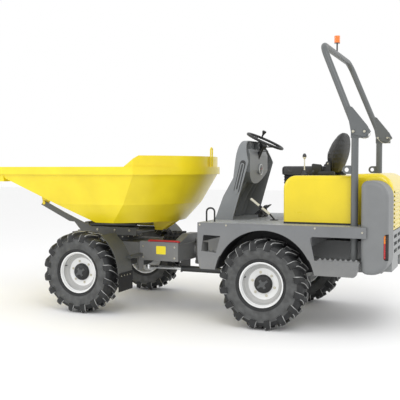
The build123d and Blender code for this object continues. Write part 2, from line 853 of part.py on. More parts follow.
# Side pods: rounded covers at the rear corners with a recess for the tail lamp
with BuildPart() as side_pods:
    for side in (1, -1):
        with BuildPart(mode=Mode.PRIVATE) as pod:
            with BuildSketch(upright(side * (pod_inner_y + pod_outer_y) / 2)) as pod_profile:
                with Locations(((pod_front_x + pod_rear_x) / 2, (pod_bottom_z + pod_top_z) / 2)):
                    Rectangle(pod_front_x - pod_rear_x, pod_top_z - pod_bottom_z)
                rear_corners = pod_profile.vertices().group_by(Axis.X)[0].sort_by(Axis.Y)
                fillet(rear_corners[0], radius=pod_bottom_radius)
                fillet(rear_corners[-1], radius=pod_top_radius)
            extrude(amount=(pod_outer_y - pod_inner_y) / 2, both=True)
            outer_face = pod.faces().filter_by(Axis.Y).sort_by(Axis.Y)[-1 if side > 0 else 0]
            fillet(outer_face.edges(), radius=pod_edge_radius)
            with BuildSketch(Plane.XY.offset(lamp_bottom_z)):
                with Locations((pod_rear_x + lamp_depth / 2, side * (pod_outer_y - lamp_width / 2))):
                    Rectangle(lamp_depth, lamp_width)
            extrude(amount=lamp_height, mode=Mode.SUBTRACT)
        add(pod.part)
side_pods.part.label = "side_pods"
export_step(side_pods.part, "parts/side_pods.step")

# Tail lamps: lenses in the outer corners of the pods
with BuildPart() as tail_lamps:
    for side in (1, -1):
        with BuildSketch(Plane.XY.offset(lamp_bottom_z + running_gap)) as lamp_plan:
            with Locations((pod_rear_x + (lamp_depth - lamp_proud) / 2 + running_gap / 2,
                            side * (pod_outer_y - (lamp_width - lamp_proud) / 2 - running_gap / 2))):
                Rectangle(lamp_depth - lamp_proud - running_gap, lamp_width - lamp_proud - running_gap)
            outer_corner = lamp_plan.vertices().group_by(Axis.X)[0].sort_by(Axis.Y)[-1 if side > 0 else 0]
            fillet(outer_corner, radius=pod_edge_radius * 0.6)
        extrude(amount=lamp_height - 2 * running_gap)
tail_lamps.part.label = "tail_lamps"
export_step(tail_lamps.part, "parts/tail_lamps.step")

# Rear bumper: a cast block with a pocket for the towing bracket
hitch_width = 80
hitch_thickness = 25
hitch_pin_radius = 16
hitch_pin_inset = 32
hitch_pocket_half_width = 75
hitch_pocket_depth = 90
hitch_z = bumper_bottom_z + 40
with BuildPart() as rear_bumper:
    with BuildSketch(Plane.XY.offset(bumper_bottom_z)):
        with Locations(((rail_rear_x + bonnet_rear_x) / 2, 0)):
            Rectangle(rail_rear_x - bonnet_rear_x, 2 * pod_inner_y)
    extrude(amount=bumper_top_z - bumper_bottom_z)
    with BuildSketch(Plane.XY.offset(bumper_bottom_z)):
        with Locations((bonnet_rear_x + hitch_pocket_depth / 2, 0)):
            Rectangle(hitch_pocket_depth, 2 * hitch_pocket_half_width)
    extrude(amount=2 * (hitch_z - bumper_bottom_z) + hitch_thickness, mode=Mode.SUBTRACT)
    hitch_length = bonnet_rear_x + hitch_pocket_depth - rear_end_x
    with BuildSketch(Plane.XY.offset(hitch_z)):
        with Locations((rear_end_x + hitch_length / 2, 0)):
            Rectangle(hitch_length, hitch_width)
        with Locations((rear_end_x + hitch_pin_inset, 0)):
            Circle(hitch_pin_radius, mode=Mode.SUBTRACT)
    extrude(amount=hitch_thickness)
    bumper_middle_z = (bumper_top_z + hitch_z + hitch_thickness) / 2 + hitch_thickness
    for slot_y in (-bumper_slot_width * 1.25, 0, bumper_slot_width * 1.25):
        for slot_z in [bumper_middle_z + step * bumper_slot_height for step in (-2, 0, 2)]:
            with BuildSketch(Plane(origin=(bonnet_rear_x, slot_y, slot_z), x_dir=(0, 1, 0), z_dir=(1, 0, 0))):
                Rectangle(bumper_slot_width, bumper_slot_height)
            extrude(amount=bumper_slot_depth, mode=Mode.SUBTRACT)
rear_bumper.part.label = "rear_bumper"
export_step(rear_bumper.part, "parts/rear_bumper.step")

# Bonnet: a hinged shell with rounded edges and two columns of louvres in its rear face
with BuildPart() as bonnet:
    with BuildSketch(Plane.XZ) as bonnet_profile:
        with BuildLine():
            Polyline(
                (bonnet_front_x, bonnet_top_z - 10), (bonnet_rear_x, bonnet_top_z),
                (bonnet_rear_x, bonnet_bottom_z), (bonnet_front_x, bonnet_bottom_z), close=True,
            )
        make_face()
        rear_top = bonnet_profile.vertices().group_by(Axis.X)[0].sort_by(Axis.Y)[-1]
        fillet(rear_top, radius=bonnet_rear_top_radius)
    extrude(amount=bonnet_width / 2, both=True)
    for side in (1, -1):
        side_face = bonnet.faces().filter_by(Axis.Y).sort_by(Axis.Y)[-1 if side > 0 else 0]
        kept = [edge for edge in side_face.edges()
                if edge.center().Z > bonnet_bottom_z + 1 and edge.center().X < bonnet_front_x - 1]
        fillet(kept, radius=bonnet_edge_radius)
    bottom_faces = bonnet.faces().filter_by(Axis.Z).sort_by(Axis.Z)[:1]
    front_faces = bonnet.faces().filter_by(Axis.X).sort_by(Axis.X)[-1:]
    offset(amount=-bonnet_wall, openings=bottom_faces + front_faces)
    for row in range(louvre_rows):
        louvre_z = louvre_first_z + row * louvre_pitch
        with BuildSketch(Plane(origin=(bonnet_rear_x - 1, 0, louvre_z), x_dir=(0, 1, 0), z_dir=(1, 0, 0))):
            with Locations((louvre_column_y, 0), (-louvre_column_y, 0)):
                Rectangle(louvre_width, louvre_height)
        extrude(amount=bonnet_wall + 2, mode=Mode.SUBTRACT)
    for side in (1, -1):
        with BuildSketch(Plane.XZ.offset(-side * (hinge_y + hinge_width + 1))):
            with Locations((bonnet_hinge_x, bonnet_hinge_z)):
                Circle(hinge_radius)
            with Locations((bonnet_hinge_x - 3, bonnet_hinge_z + hinge_radius)):
                Rectangle(8, 16)
        extrude(amount=-side * hinge_width)
        with BuildSketch(Plane.XZ.offset(-side * (hinge_y - 2))):
            with Locations((bonnet_hinge_x, bonnet_hinge_z)):
                Circle(hinge_pin_radius)
        extrude(amount=-side * (hinge_width + 5))
bonnet.part.label = "bonnet"
export_step(bonnet.part, "parts/bonnet.step")

# Seat box: the yellow cover under the seat
with BuildPart() as seat_box:
    with BuildSketch(Plane.XY.offset(deck_top_z + plinth_height)):
        with Locations(((seat_box_front_x + seat_box_rear_x) / 2, 0)):
            Rectangle(seat_box_front_x - seat_box_rear_x, seat_box_width)
    extrude(amount=seat_box_top_z - deck_top_z - plinth_height)
    front_top = seat_box.edges().filter_by(Axis.Y).group_by(Axis.Z)[-1].sort_by(Axis.X)[-1]
    fillet(front_top, radius=seat_box_front_radius)
    upright_edges = seat_box.edges().filter_by(Axis.Z).group_by(Axis.X)[-1]
    fillet(upright_edges, radius=seat_box_corner_radius)
    with BuildSketch(Plane.XY.offset(seat_recess_z)):
        with Locations((seat_recess_rear_x + seat_box_width / 4, 0)):
            Rectangle(seat_box_width / 2, seat_recess_width)
    extrude(amount=seat_box_top_z - seat_recess_z + 1, mode=Mode.SUBTRACT)
    bottom_faces = seat_box.faces().filter_by(Axis.Z).sort_by(Axis.Z)[:1]
    rear_faces = seat_box.faces().filter_by(Axis.X).sort_by(Axis.X)[:1]
    offset(amount=-seat_box_wall, openings=bottom_faces + rear_faces)
    for side in (1, -1):
        with BuildSketch(Plane.XZ.offset(-side * hinge_y)):
            with Locations((bonnet_hinge_x, bonnet_hinge_z)):
                Circle(hinge_radius)
            with Locations(((bonnet_hinge_x + seat_box_rear_x) / 2 + 2, seat_box_top_z - 3)):
                Rectangle(seat_box_rear_x - bonnet_hinge_x + 6, 6)
            with Locations((bonnet_hinge_x, bonnet_hinge_z)):
                Circle(hinge_pin_radius + pin_clearance, mode=Mode.SUBTRACT)
        extrude(amount=-side * hinge_width)
seat_box.part.label = "seat_box"
export_step(seat_box.part, "parts/seat_box.step")

# Plinth: the dark base under the seat box
with BuildPart() as seat_plinth:
    with BuildSketch(Plane.XY.offset(deck_top_z)):
        with Locations(((seat_box_front_x + seat_box_rear_x) / 2, 0)):
            Rectangle(seat_box_front_x - seat_box_rear_x - plinth_step, seat_box_width - plinth_step)
            Rectangle(seat_box_front_x - seat_box_rear_x - 2 * plinth_width - plinth_step,
                      seat_box_width - 2 * plinth_width - plinth_step, mode=Mode.SUBTRACT)
        with Locations((seat_box_rear_x, 0)):
            Rectangle(8 * plinth_width, seat_box_width - 2 * plinth_width - plinth_step, mode=Mode.SUBTRACT)
    extrude(amount=plinth_height)
seat_plinth.part.label = "seat_plinth"
export_step(seat_plinth.part, "parts/seat_plinth.step")

# Seat: sprung base, cushion and backrest
with BuildPart() as seat_base:
    with BuildSketch(Plane.XY.offset(seat_recess_z)):
        with Locations(((seat_front_x - seat_overhang + seat_recess_rear_x + engine_gap / 2) / 2, 0)):
            Rectangle(seat_front_x - seat_overhang - seat_recess_rear_x - engine_gap / 2,
                      seat_width - seat_overhang)
    extrude(amount=cushion_bottom_z - seat_recess_z - running_gap)
seat_base.part.label = "seat_base"
export_step(seat_base.part, "parts/seat_base.step")

with BuildPart() as seat_cushion:
    with BuildSketch(Plane.XY.offset(cushion_bottom_z)):
        with Locations(((seat_front_x + seat_rear_x) / 2, 0)):
            RectangleRounded(seat_front_x - seat_rear_x, seat_width, cushion_corner_radius)
    extrude(amount=cushion_thickness)
    fillet(seat_cushion.faces().sort_by(Axis.Z)[-1].edges(), radius=backrest_edge_radius)
seat_cushion.part.label = "seat_cushion"
export_step(seat_cushion.part, "parts/seat_cushion.step")

back_plane = Plane(origin=(seat_rear_x - running_gap, 0, cushion_bottom_z + 50), x_dir=(0, -1, 0),
                   z_dir=(-math.cos(math.radians(backrest_lean)), 0, -math.sin(math.radians(backrest_lean))))
with BuildPart() as seat_back:
    with BuildSketch(back_plane) as back_outline:
        with BuildLine():
            Polyline(
                (-seat_width / 2, 0), (seat_width / 2, 0), (seat_width / 2, backrest_height * 0.5),
                (seat_width / 2 - backrest_taper, backrest_height),
                (-seat_width / 2 + backrest_taper, backrest_height),
                (-seat_width / 2, backrest_height * 0.5), close=True,
            )
        make_face()
        fillet(back_outline.vertices().group_by(Axis.Y)[-1], radius=backrest_corner_radius)
    extrude(amount=backrest_thickness)
    front_edges = seat_back.faces().sort_by(Axis.X)[-1].edges().sort_by(Axis.Z)
    fillet(front_edges[1:], radius=backrest_edge_radius)
seat_back.part.label = "seat_back"
export_step(seat_back.part, "parts/seat_back.step")

# Drive lever beside the seat: a gaiter, a stalk and a rounded grip
with BuildPart() as drive_lever:
    with BuildSketch(Plane.XZ.offset(-lever_y)):
        with BuildLine():
            Polyline(
                (lever_x, seat_box_top_z + running_gap),
                (lever_x + gaiter_radius, seat_box_top_z + running_gap),
                (lever_x + gaiter_radius, seat_box_top_z + 8), (lever_x + 10, seat_box_top_z + 50),
                (lever_x + 6, seat_box_top_z + 55), (lever_x + 6, seat_box_top_z + lever_height - 22),
                (lever_x + grip_radius * 0.8, seat_box_top_z + lever_height - 14),
                (lever_x + grip_radius, seat_box_top_z + lever_height + 6),
                (lever_x + grip_radius * 0.6, seat_box_top_z + lever_height + 28),
                (lever_x, seat_box_top_z + lever_height + 32), close=True,
            )
        make_face()
    revolve(axis=Axis((lever_x, lever_y, seat_box_top_z), (0, 0, 1)))
drive_lever.part.label = "drive_lever"
export_step(drive_lever.part, "parts/drive_lever.step")

tilt = math.radians(column_tilt)
column_direction = Vector(-math.sin(tilt), 0, math.cos(tilt))
wheel_centre = Vector(wheel_centre_x, 0, wheel_centre_z)
column_top = wheel_centre - column_direction * 30

# Dash console: a moulded shell with rounded shoulders, open towards the operator, with upright ribs
# and an instrument panel inside it
dash_foot_z = deck_top_z + running_gap
dash_front_line = ((dash_foot_front_x, dash_foot_z), (dash_shin_x, dash_shin_z), (dash_knee_x, dash_knee_z),
                   (dash_chest_x, dash_shoulder_z), (dash_top_front_x, dash_top_z))
dash_rear_line = ((dash_top_rear_x, dash_top_z), (dash_back_x, dash_shoulder_z),
                  (dash_foot_rear_x, dash_foot_z))


def dash_volume(inset, rear_shift):
    """Solid inside the console's outline, inset from its walls, its rear moved back by rear_shift."""
    with BuildPart() as volume:
        with BuildSketch(Plane.XZ):
            with BuildLine():
                Polyline(
                    *[(x - inset, z - (inset if z == dash_top_z else 0)) for x, z in dash_front_line],
                    *[(x - rear_shift, z - (inset if z == dash_top_z else 0)) for x, z in dash_rear_line],
                    close=True,
                )
            make_face()
        extrude(amount=dash_half_width, both=True)
        with BuildSketch(Plane.YZ.offset(dash_foot_front_x + 1)):
            with BuildLine():
                half = dash_half_width - inset
                top_half = dash_top_half_width - inset
                shoulder_run = dash_half_width - dash_top_half_width
                shoulder_out = dash_top_half_width + shoulder_run * dash_shoulder_bulge - inset
                shoulder_up = dash_shoulder_z + (dash_top_z - dash_shoulder_z) * dash_shoulder_rise - inset
                Polyline((-half, dash_shoulder_z), (-half, dash_foot_z - 1), (half, dash_foot_z - 1),
                         (half, dash_shoulder_z))
                crown_z = dash_top_z - inset
                ThreePointArc((half, dash_shoulder_z), (shoulder_out, shoulder_up), (top_half, crown_z))
                Line((top_half, crown_z), (-top_half, crown_z))
                ThreePointArc((-top_half, crown_z), (-shoulder_out, shoulder_up), (-half, dash_shoulder_z))
            make_face()
        extrude(amount=dash_back_x - rear_shift - dash_foot_front_x - 2, mode=Mode.INTERSECT)
    return volume.part


panel_x = dash_back_x + dash_panel_inset
with BuildPart() as dash_console:
    add(dash_volume(0, 0))
    add(dash_volume(dash_wall, dash_rib_depth), mode=Mode.SUBTRACT)
    with BuildPart(mode=Mode.PRIVATE) as dash_ribs:
        for rib_y in dash_rib_y:
            with BuildSketch(upright(rib_y)):
                with BuildLine():
                    Polyline(
                        *[(x - 1, z) for x, z in dash_front_line],
                        *[(x - dash_rib_depth, z) for x, z in dash_front_line[::-1]], close=True,
                    )
                make_face()
            extrude(amount=dash_rib_thickness / 2, both=True)
        with BuildSketch(Plane(origin=(panel_x, 0, 0), x_dir=(0, 1, 0), z_dir=(1, 0, 0))):
            with BuildLine():
                Polyline(
                    (dash_panel_half_width, dash_panel_side_z), (dash_panel_half_width, dash_panel_top_z),
                    (-dash_panel_half_width, dash_panel_top_z), (-dash_panel_half_width, dash_panel_side_z),
                )
                ThreePointArc((-dash_panel_half_width, dash_panel_side_z), (0, dash_panel_bottom_z),
                              (dash_panel_half_width, dash_panel_side_z))
            make_face()
        extrude(amount=dash_chest_x - panel_x)
        add(dash_volume(1, 0), mode=Mode.INTERSECT)
    add(dash_ribs.part)
    with BuildSketch(Plane(origin=(panel_x + 1, 0, 0), x_dir=(0, -1, 0), z_dir=(-1, 0, 0))):
        with Locations((-gauge_y, gauge_z)):
            Circle(gauge_radius)
    extrude(amount=gauge_length)
    pad_lean = math.radians(dash_pad_lean)
    pad_reach = (dash_pad_length - dash_pad_width) / 2
    pad_middle_x = dash_pad_low_x - pad_reach * math.sin(pad_lean)
    pad_middle_z = dash_pad_low_z + pad_reach * math.cos(pad_lean)
    for side in (1, -1):
        with BuildSketch(upright(side * (dash_half_width + dash_pad_height / 2 - 1))):
            with Locations(Location((pad_middle_x, pad_middle_z, 0), (0, 0, 90 + dash_pad_lean))):
                SlotOverall(dash_pad_length, dash_pad_width)
        extrude(amount=dash_pad_height / 2 + 1, both=True)
    with BuildSketch(Plane(origin=column_top, z_dir=-column_direction)):
        Circle(column_radius + running_gap)
    extrude(amount=column_length + 1, mode=Mode.SUBTRACT)
dash_console.part.label = "dash_console"
export_step(dash_console.part, "parts/dash_console.step")

# Steering column and wheel
with BuildPart() as steering_column:
    with BuildSketch(Plane(origin=column_top, z_dir=-column_direction)):
        Circle(column_radius)
    extrude(amount=column_length)
steering_column.part.label = "steering_column"
export_step(steering_column.part, "parts/steering_column.step")

with BuildPart() as steering_wheel:
    with BuildSketch(Plane(origin=wheel_centre, x_dir=(0, 1, 0), z_dir=(math.cos(tilt), 0, math.sin(tilt)))):
        with Locations((steering_wheel_radius - steering_rim_radius, 0)):
            RegularPolygon(steering_rim_radius, 8)
    revolve(axis=Axis(wheel_centre, column_direction))
    wheel_plate = Plane(origin=column_top + column_direction * running_gap, x_dir=(0, 1, 0),
                        z_dir=column_direction)
    with BuildSketch(wheel_plate):
        Circle(35)
        with PolarLocations(0, 3):
            with Locations((steering_wheel_radius / 2 - 5, 0)):
                Rectangle(steering_wheel_radius - 20, 22)
    extrude(amount=32)
steering_wheel.part.label = "steering_wheel"
export_step(steering_wheel.part, "parts/steering_wheel.step")

# Foot controls: the hand brake lever hinged on the deck and the two pedals beside it
brake_y = 300
brake_root_x = -905
brake_bend_x = -865
brake_bend_z = 1038
brake_tip_x = -655
brake_tip_z = 1198
brake_bar = 9
pedal_x = -640
pedal_length = 150
pedal_width = 90
pedal_lean = 40
pedal_thickness = 8
with BuildPart() as foot_controls:
    with BuildSketch(Plane.XY.offset(deck_top_z + running_gap)):
        with Locations((brake_root_x, brake_y)):
            Rectangle(70, 50)
    extrude(amount=8)
    with BuildLine() as brake_path:
        FilletPolyline(
            (brake_root_x, brake_y, deck_top_z + running_gap + 7), (brake_bend_x, brake_y, brake_bend_z),
            (brake_tip_x, brake_y, brake_tip_z), radius=60,
        )
    with BuildSketch(Plane(origin=brake_path.line @ 0, z_dir=brake_path.line % 0)):
        RegularPolygon(brake_bar, 8)
    sweep()
    for pedal_y in (-90, -230):
        with BuildSketch(Plane.XZ.offset(-pedal_y)):
            with Locations((pedal_x, deck_top_z + running_gap + 22)):
                Rectangle(40, 44)
            with Locations(Location((pedal_x, deck_top_z + 80, 0), (0, 0, 180 - pedal_lean))):
                Rectangle(pedal_length, pedal_thickness)
            with Locations((pedal_x, deck_top_z + 60)):
                Rectangle(16, 40)
        extrude(amount=pedal_width / 2, both=True)
foot_controls.part.label = "foot_controls"
export_step(foot_controls.part, "parts/foot_controls.step")

# Roll over posts with their lug plates, and the folding bar
lean = math.radians(bar_lean)
bar_root_z = fold_pin_z + 20
bar_root_x = lock_pin_x + 5
bar_top_x = bar_root_x + (bar_top_z - bar_root_z) * math.tan(lean)
with BuildPart() as rops_posts:
    for side in (1, -1):
        with BuildSketch(Plane.XY.offset(panel_bottom_z + running_gap)):
            with Locations((post_x, side * post_spacing / 2)):
                Circle(post_radius)
        extrude(amount=post_top_z - panel_bottom_z)
        with BuildSketch(Plane.XZ.offset(-side * post_spacing / 2)):
            with Locations(((fold_pin_x + lock_pin_x) / 2, fold_pin_z - 10)):
                Rectangle(fold_head_length, fold_head_height)
            with Locations((fold_pin_x, fold_pin_z)):
                Circle(fold_pin_radius + pin_clearance, mode=Mode.SUBTRACT)
        extrude(amount=fold_head_thickness / 2, both=True)
        with BuildSketch(upright(side * post_spacing / 2)):
            with Locations(((lifting_eye_x + post_x) / 2, lifting_eye_z)):
                Rectangle(lifting_eye_x - post_x, 2 * lifting_eye_radius)
            with Locations((lifting_eye_x, lifting_eye_z)):
                Circle(lifting_eye_radius)
                Circle(lifting_eye_bore, mode=Mode.SUBTRACT)
        extrude(amount=lifting_eye_thickness / 2, both=True)
rops_posts.part.label = "rops_posts"
export_step(rops_posts.part, "parts/rops_posts.step")

bar_half_width = post_spacing / 2
with BuildPart() as rops_bar:
    with BuildLine() as bar_path:
        FilletPolyline(
            (bar_root_x, bar_half_width, bar_root_z + 50), (bar_top_x, bar_half_width - 60, bar_top_z),
            (bar_top_x, -bar_half_width + 60, bar_top_z), (bar_root_x, -bar_half_width, bar_root_z + 50),
            radius=bar_bend_radius,
        )
    with BuildSketch(Plane(origin=bar_path.line @ 0, z_dir=bar_path.line % 0)):
        Circle(bar_radius)
    sweep()
    for side in (1, -1):
        for plate_side in (1, -1):
            plate_offset = fold_head_thickness / 2 + running_gap + bar_plate_thickness / 2
            plate_y = side * bar_half_width + plate_side * plate_offset
            with BuildSketch(Plane.XZ.offset(-plate_y)):
                with BuildLine():
                    Polyline(
                        (lock_pin_x + 20, fold_pin_z - 20), (bar_root_x + 60, bar_root_z + 200),
                        (bar_root_x + 20, bar_root_z + 205), (fold_pin_x - 10, fold_pin_z + 60),
                        (fold_pin_x - 45, fold_pin_z), (fold_pin_x, fold_pin_z - 45), close=True,
                    )
                make_face()
            extrude(amount=bar_plate_thickness / 2, both=True)
        with BuildSketch(upright(side * bar_half_width)):
            with Locations((fold_pin_x, fold_pin_z)):
                Circle(fold_pin_radius)
        extrude(amount=fold_pin_length / 2, both=True)
rops_bar.part.label = "rops_bar"
export_step(rops_bar.part, "parts/rops_bar.step")

with BuildPart() as beacon:
    with BuildSketch(Plane.XY.offset(bar_top_z + bar_radius + running_gap)):
        with Locations((bar_top_x, 0)):
            Circle(beacon_stem_radius)
    extrude(amount=beacon_stem_length + 1)
    with BuildSketch(Plane.XY.offset(bar_top_z + bar_radius + beacon_stem_length)):
        with Locations((bar_top_x, 0)):
            Circle(beacon_radius)
    extrude(amount=beacon_height)
beacon.part.label = "beacon"
export_step(beacon.part, "parts/beacon.step")

# Swivel console: two side plates on a turntable, open at the front, carrying the skip hinge
with BuildPart() as swivel_console:
    with BuildSketch(Plane.XY.offset(console_bottom_z)):
        with Locations((pedestal_x, 0)):
            Circle(slew_ring_radius)
        with Locations((pedestal_x + console_floor_offset, 0)):
            Rectangle(console_floor_length, 2 * console_half_width)
        with Locations((pedestal_x + console_tongue_offset, 0)):
            Rectangle(console_tongue_length, console_tongue_width)
    extrude(amount=console_floor_thickness)
    for side in (1, -1):
        with BuildSketch(Plane.XZ.offset(-side * (tip_eye_width / 2 + running_gap + tip_ear_thickness / 2))):
            with Locations((tip_base_x, tip_base_z)):
                Circle(tip_eye_radius)
            with Locations((tip_base_x, (tip_base_z + console_bottom_z) / 2)):
                Rectangle(2 * tip_eye_radius, tip_base_z - console_bottom_z)
        extrude(amount=tip_ear_thickness / 2, both=True)
    with BuildSketch(Plane.XZ.offset(-tip_eye_width / 2 - 2)):
        with Locations((tip_base_x, tip_base_z)):
            Circle(tip_pin_radius)
    extrude(amount=tip_eye_width + 4)
    for side in (1, -1):
        with BuildSketch(Plane.XZ.offset(-side * (console_half_width - console_plate / 2))):
            with BuildLine():
                Polyline(
                    (640, console_bottom_z), (1330, console_bottom_z + 30), (1420, 905), (1490, 912),
                    (console_tip_x + 40, console_tip_z - 20), (console_tip_x, console_tip_z + 25),
                    (1560, 1010), (1200, 860), (640, 860), close=True,
                )
            make_face()
            with Locations((console_tip_x, console_tip_z)):
                Circle(skip_pin_radius + pin_clearance, mode=Mode.SUBTRACT)
        extrude(amount=console_plate / 2, both=True)
swivel_console.part.label = "swivel_console"
export_step(swivel_console.part, "parts/swivel_console.step")

# Skip: a half round tub with flat sides, a sloped floor, a folded rim and a raised rear wall
band_inner_half_width = skip_half_width - skip_band_stand_out
band_inner_radius = skip_rear_radius - skip_band_stand_out
skip_levels = (
    (skip_rim_z - skip_band_height, band_inner_half_width, band_inner_radius),
    (skip_crease_z, skip_crease_half_width, skip_crease_radius),
    (skip_bottom_z, skip_floor_half_width, skip_floor_radius),
)
skip_front_x = front_end_x
raised_wall_front_x = front_axle_x + raised_wall_run - math.sqrt(
    (skip_rear_radius - skip_band_stand_out)**2 - (skip_half_width - skip_band_stand_out)**2)
slope_run = skip_slope_top_x - skip_knee_x
slope_rise = skip_slope_top_z - skip_bottom_z
slope_angle = math.atan2(slope_rise, slope_run)


def skip_outline(z, half, radius, end_x):
    """Plan of the tub at one level: flat sides and a rear arc about the slew axis."""
    start_x = front_axle_x - math.sqrt(radius**2 - half**2)
    with BuildSketch(Plane.XY.offset(z)) as level:
        with BuildLine():
            Polyline((start_x, half), (end_x, half), (end_x, -half), (start_x, -half))
            ThreePointArc((start_x, half), (front_axle_x - radius, 0), (start_x, -half))
        make_face()
    return level.sketch


def skip_tub(inset, floor_rise, top_rise):
    """Solid of the tub's volume, inset from its walls and raised from its floor."""
    slope_lift = floor_rise / math.cos(slope_angle)
    with BuildPart() as tub:
        for upper, lower in zip(skip_levels, skip_levels[1:]):
            for z, half, radius in (upper, lower):
                add(skip_outline(z, half - inset, radius - inset, skip_front_x))
            loft(ruled=True)
        if top_rise:
            z, half, radius = skip_levels[0]
            add(skip_outline(z, half - inset, radius - inset, skip_front_x + 1))
            extrude(amount=top_rise)
        with BuildSketch(Plane.XZ):
            with BuildLine():
                Polyline(
                    (skip_knee_x - 2 * skip_rear_radius, skip_bottom_z - 1),
                    (skip_knee_x - 2 * skip_rear_radius, skip_bottom_z + floor_rise),
                    (skip_knee_x, skip_bottom_z + floor_rise),
                    (skip_knee_x + 3 * slope_run, skip_bottom_z + slope_lift + 3 * slope_rise),
                    (skip_knee_x + 3 * slope_run, skip_bottom_z - 1), close=True,
                )
            make_face()
        extrude(amount=skip_half_width, both=True, mode=Mode.SUBTRACT)
    return tub.part


band_bottom_level = skip_rim_z - skip_band_height
lug_outer_y = console_half_width - console_plate - moving_gap - 2
lug_z = skip_bottom_z + (console_tip_x - skip_knee_x) * math.tan(slope_angle)
with BuildPart() as skip:
    add(skip_tub(0, 0, 0))
    add(skip_outline(band_bottom_level, skip_half_width, skip_rear_radius, skip_front_x))
    extrude(amount=skip_band_height)
    with BuildSketch(Plane.XZ):
        with Locations((skip_front_x - lip_depth / 2, band_bottom_level - lip_height / 2)):
            Rectangle(lip_depth, lip_height)
    extrude(amount=skip_half_width - skip_band_stand_out, both=True)
    add(skip_outline(skip_rim_z, band_inner_half_width, band_inner_radius, raised_wall_front_x))
    extrude(amount=skip_wall_top_z - skip_rim_z)
    with BuildSketch(Plane.XZ):
        with BuildLine():
            Polyline(
                (raised_wall_front_x, skip_rim_z), (raised_wall_front_x - raised_wall_slope, skip_wall_top_z),
                (raised_wall_front_x + 10, skip_wall_top_z), close=True,
            )
        make_face()
    extrude(amount=skip_half_width, both=True, mode=Mode.SUBTRACT)
    for side in (1, -1):
        with BuildSketch(Plane.XZ.offset(-side * (lug_outer_y - lug_thickness / 2))):
            with BuildLine():
                Polyline(
                    (console_tip_x - 30, console_tip_z - 20), (console_tip_x + 30, console_tip_z - 20),
                    (console_tip_x + 90, lug_z + 20), (console_tip_x - 170, lug_z - 60), close=True,
                )
            make_face()
            with Locations((console_tip_x, console_tip_z)):
                Circle(skip_eye_radius)
        extrude(amount=lug_thickness / 2, both=True)
        with BuildSketch(Plane.XZ.offset(-side * (lug_outer_y - lug_thickness / 2))):
            with Locations((console_tip_x, console_tip_z)):
                Circle(skip_pin_radius)
        extrude(amount=side * (console_half_width + moving_gap - lug_outer_y + lug_thickness / 2) * -1)
        bracket_low_z = tip_eye_z - tip_eye_radius - 2
        with BuildSketch(upright(side * skip_bracket_y)):
            with BuildLine():
                Polyline(
                    (tip_eye_x - 60, bracket_low_z), (tip_eye_x + 30, bracket_low_z),
                    (tip_eye_x + 60, skip_bottom_z + 1), (tip_eye_x - 230, skip_bottom_z + 1), close=True,
                )
            make_face()
        extrude(amount=skip_bracket_thickness / 2, both=True)
    add(skip_tub(skip_wall, skip_wall, skip_wall_top_z - band_bottom_level + 1), mode=Mode.SUBTRACT)
    loop_x = front_axle_x - skip_rear_radius + 10
    with BuildLine() as loop_path:
        loop_foot = skip_rim_z - 2
        loop_top = skip_rim_z + skip_loop_height
        Polyline((loop_x, skip_loop_half_width, loop_foot), (loop_x, skip_loop_half_width, loop_top))
        ThreePointArc((loop_x, skip_loop_half_width, loop_top), (loop_x, 0, loop_top + skip_loop_half_width),
                      (loop_x, -skip_loop_half_width, loop_top))
        Polyline((loop_x, -skip_loop_half_width, loop_top), (loop_x, -skip_loop_half_width, loop_foot))
    with BuildSketch(Plane(origin=loop_path.line @ 0, z_dir=loop_path.line % 0)):
        Circle(skip_loop_bar_radius)
    sweep()
skip.part.label = "skip"
export_step(skip.part, "parts/skip.step")

# Tipping cylinder between the console floor and the bracket under the skip
tip_base = Vector(tip_base_x, 0, tip_base_z)
tip_vector = Vector(tip_eye_x, 0, tip_eye_z) - tip_base
tip_length = tip_vector.length
tip_direction = tip_vector.normalized()
with BuildPart() as tip_barrel:
    with BuildSketch(Plane(origin=(tip_base_x, tip_eye_width / 2, tip_base_z), z_dir=(0, -1, 0))):
        Circle(tip_eye_radius)
    extrude(amount=tip_eye_width)
    with BuildSketch(Plane(origin=tip_base, z_dir=tip_direction)):
        Rectangle(1.6 * tip_eye_radius, tip_eye_width)
    extrude(amount=tip_tube_start + 5)
    with BuildSketch(Plane(origin=tip_base + tip_direction * tip_tube_start, z_dir=tip_direction)):
        Circle(tip_barrel_radius)
    extrude(amount=tip_barrel_length)
    with BuildSketch(Plane(origin=tip_base + tip_direction * (tip_tube_start + 25), z_dir=tip_direction)):
        Circle(tip_rod_radius + pin_clearance)
    extrude(amount=tip_barrel_length, mode=Mode.SUBTRACT)
    with BuildSketch(Plane(origin=(tip_base_x, tip_eye_width / 2, tip_base_z), z_dir=(0, -1, 0))):
        Circle(tip_pin_radius + pin_clearance)
    extrude(amount=tip_eye_width, mode=Mode.SUBTRACT)
tip_barrel.part.label = "tip_barrel"
export_step(tip_barrel.part, "parts/tip_barrel.step")

with BuildPart() as tip_rod:
    with BuildSketch(Plane(origin=tip_base + tip_direction * (tip_tube_start + 28), z_dir=tip_direction)):
        Circle(tip_rod_radius)
    extrude(amount=tip_length - tip_tube_start - 28)
    with BuildSketch(Plane(origin=(tip_eye_x, tip_rod_eye_width / 2, tip_eye_z), z_dir=(0, -1, 0))):
        Circle(tip_rod_eye_radius)
    extrude(amount=tip_rod_eye_width)
    with BuildSketch(Plane(origin=(tip_eye_x, tip_rod_eye_width / 2, tip_eye_z), z_dir=(0, -1, 0))):
        Circle(tip_pin_radius)
    extrude(amount=tip_rod_eye_width, mode=Mode.SUBTRACT)
tip_rod.part.label = "tip_rod"
export_step(tip_rod.part, "parts/tip_rod.step")

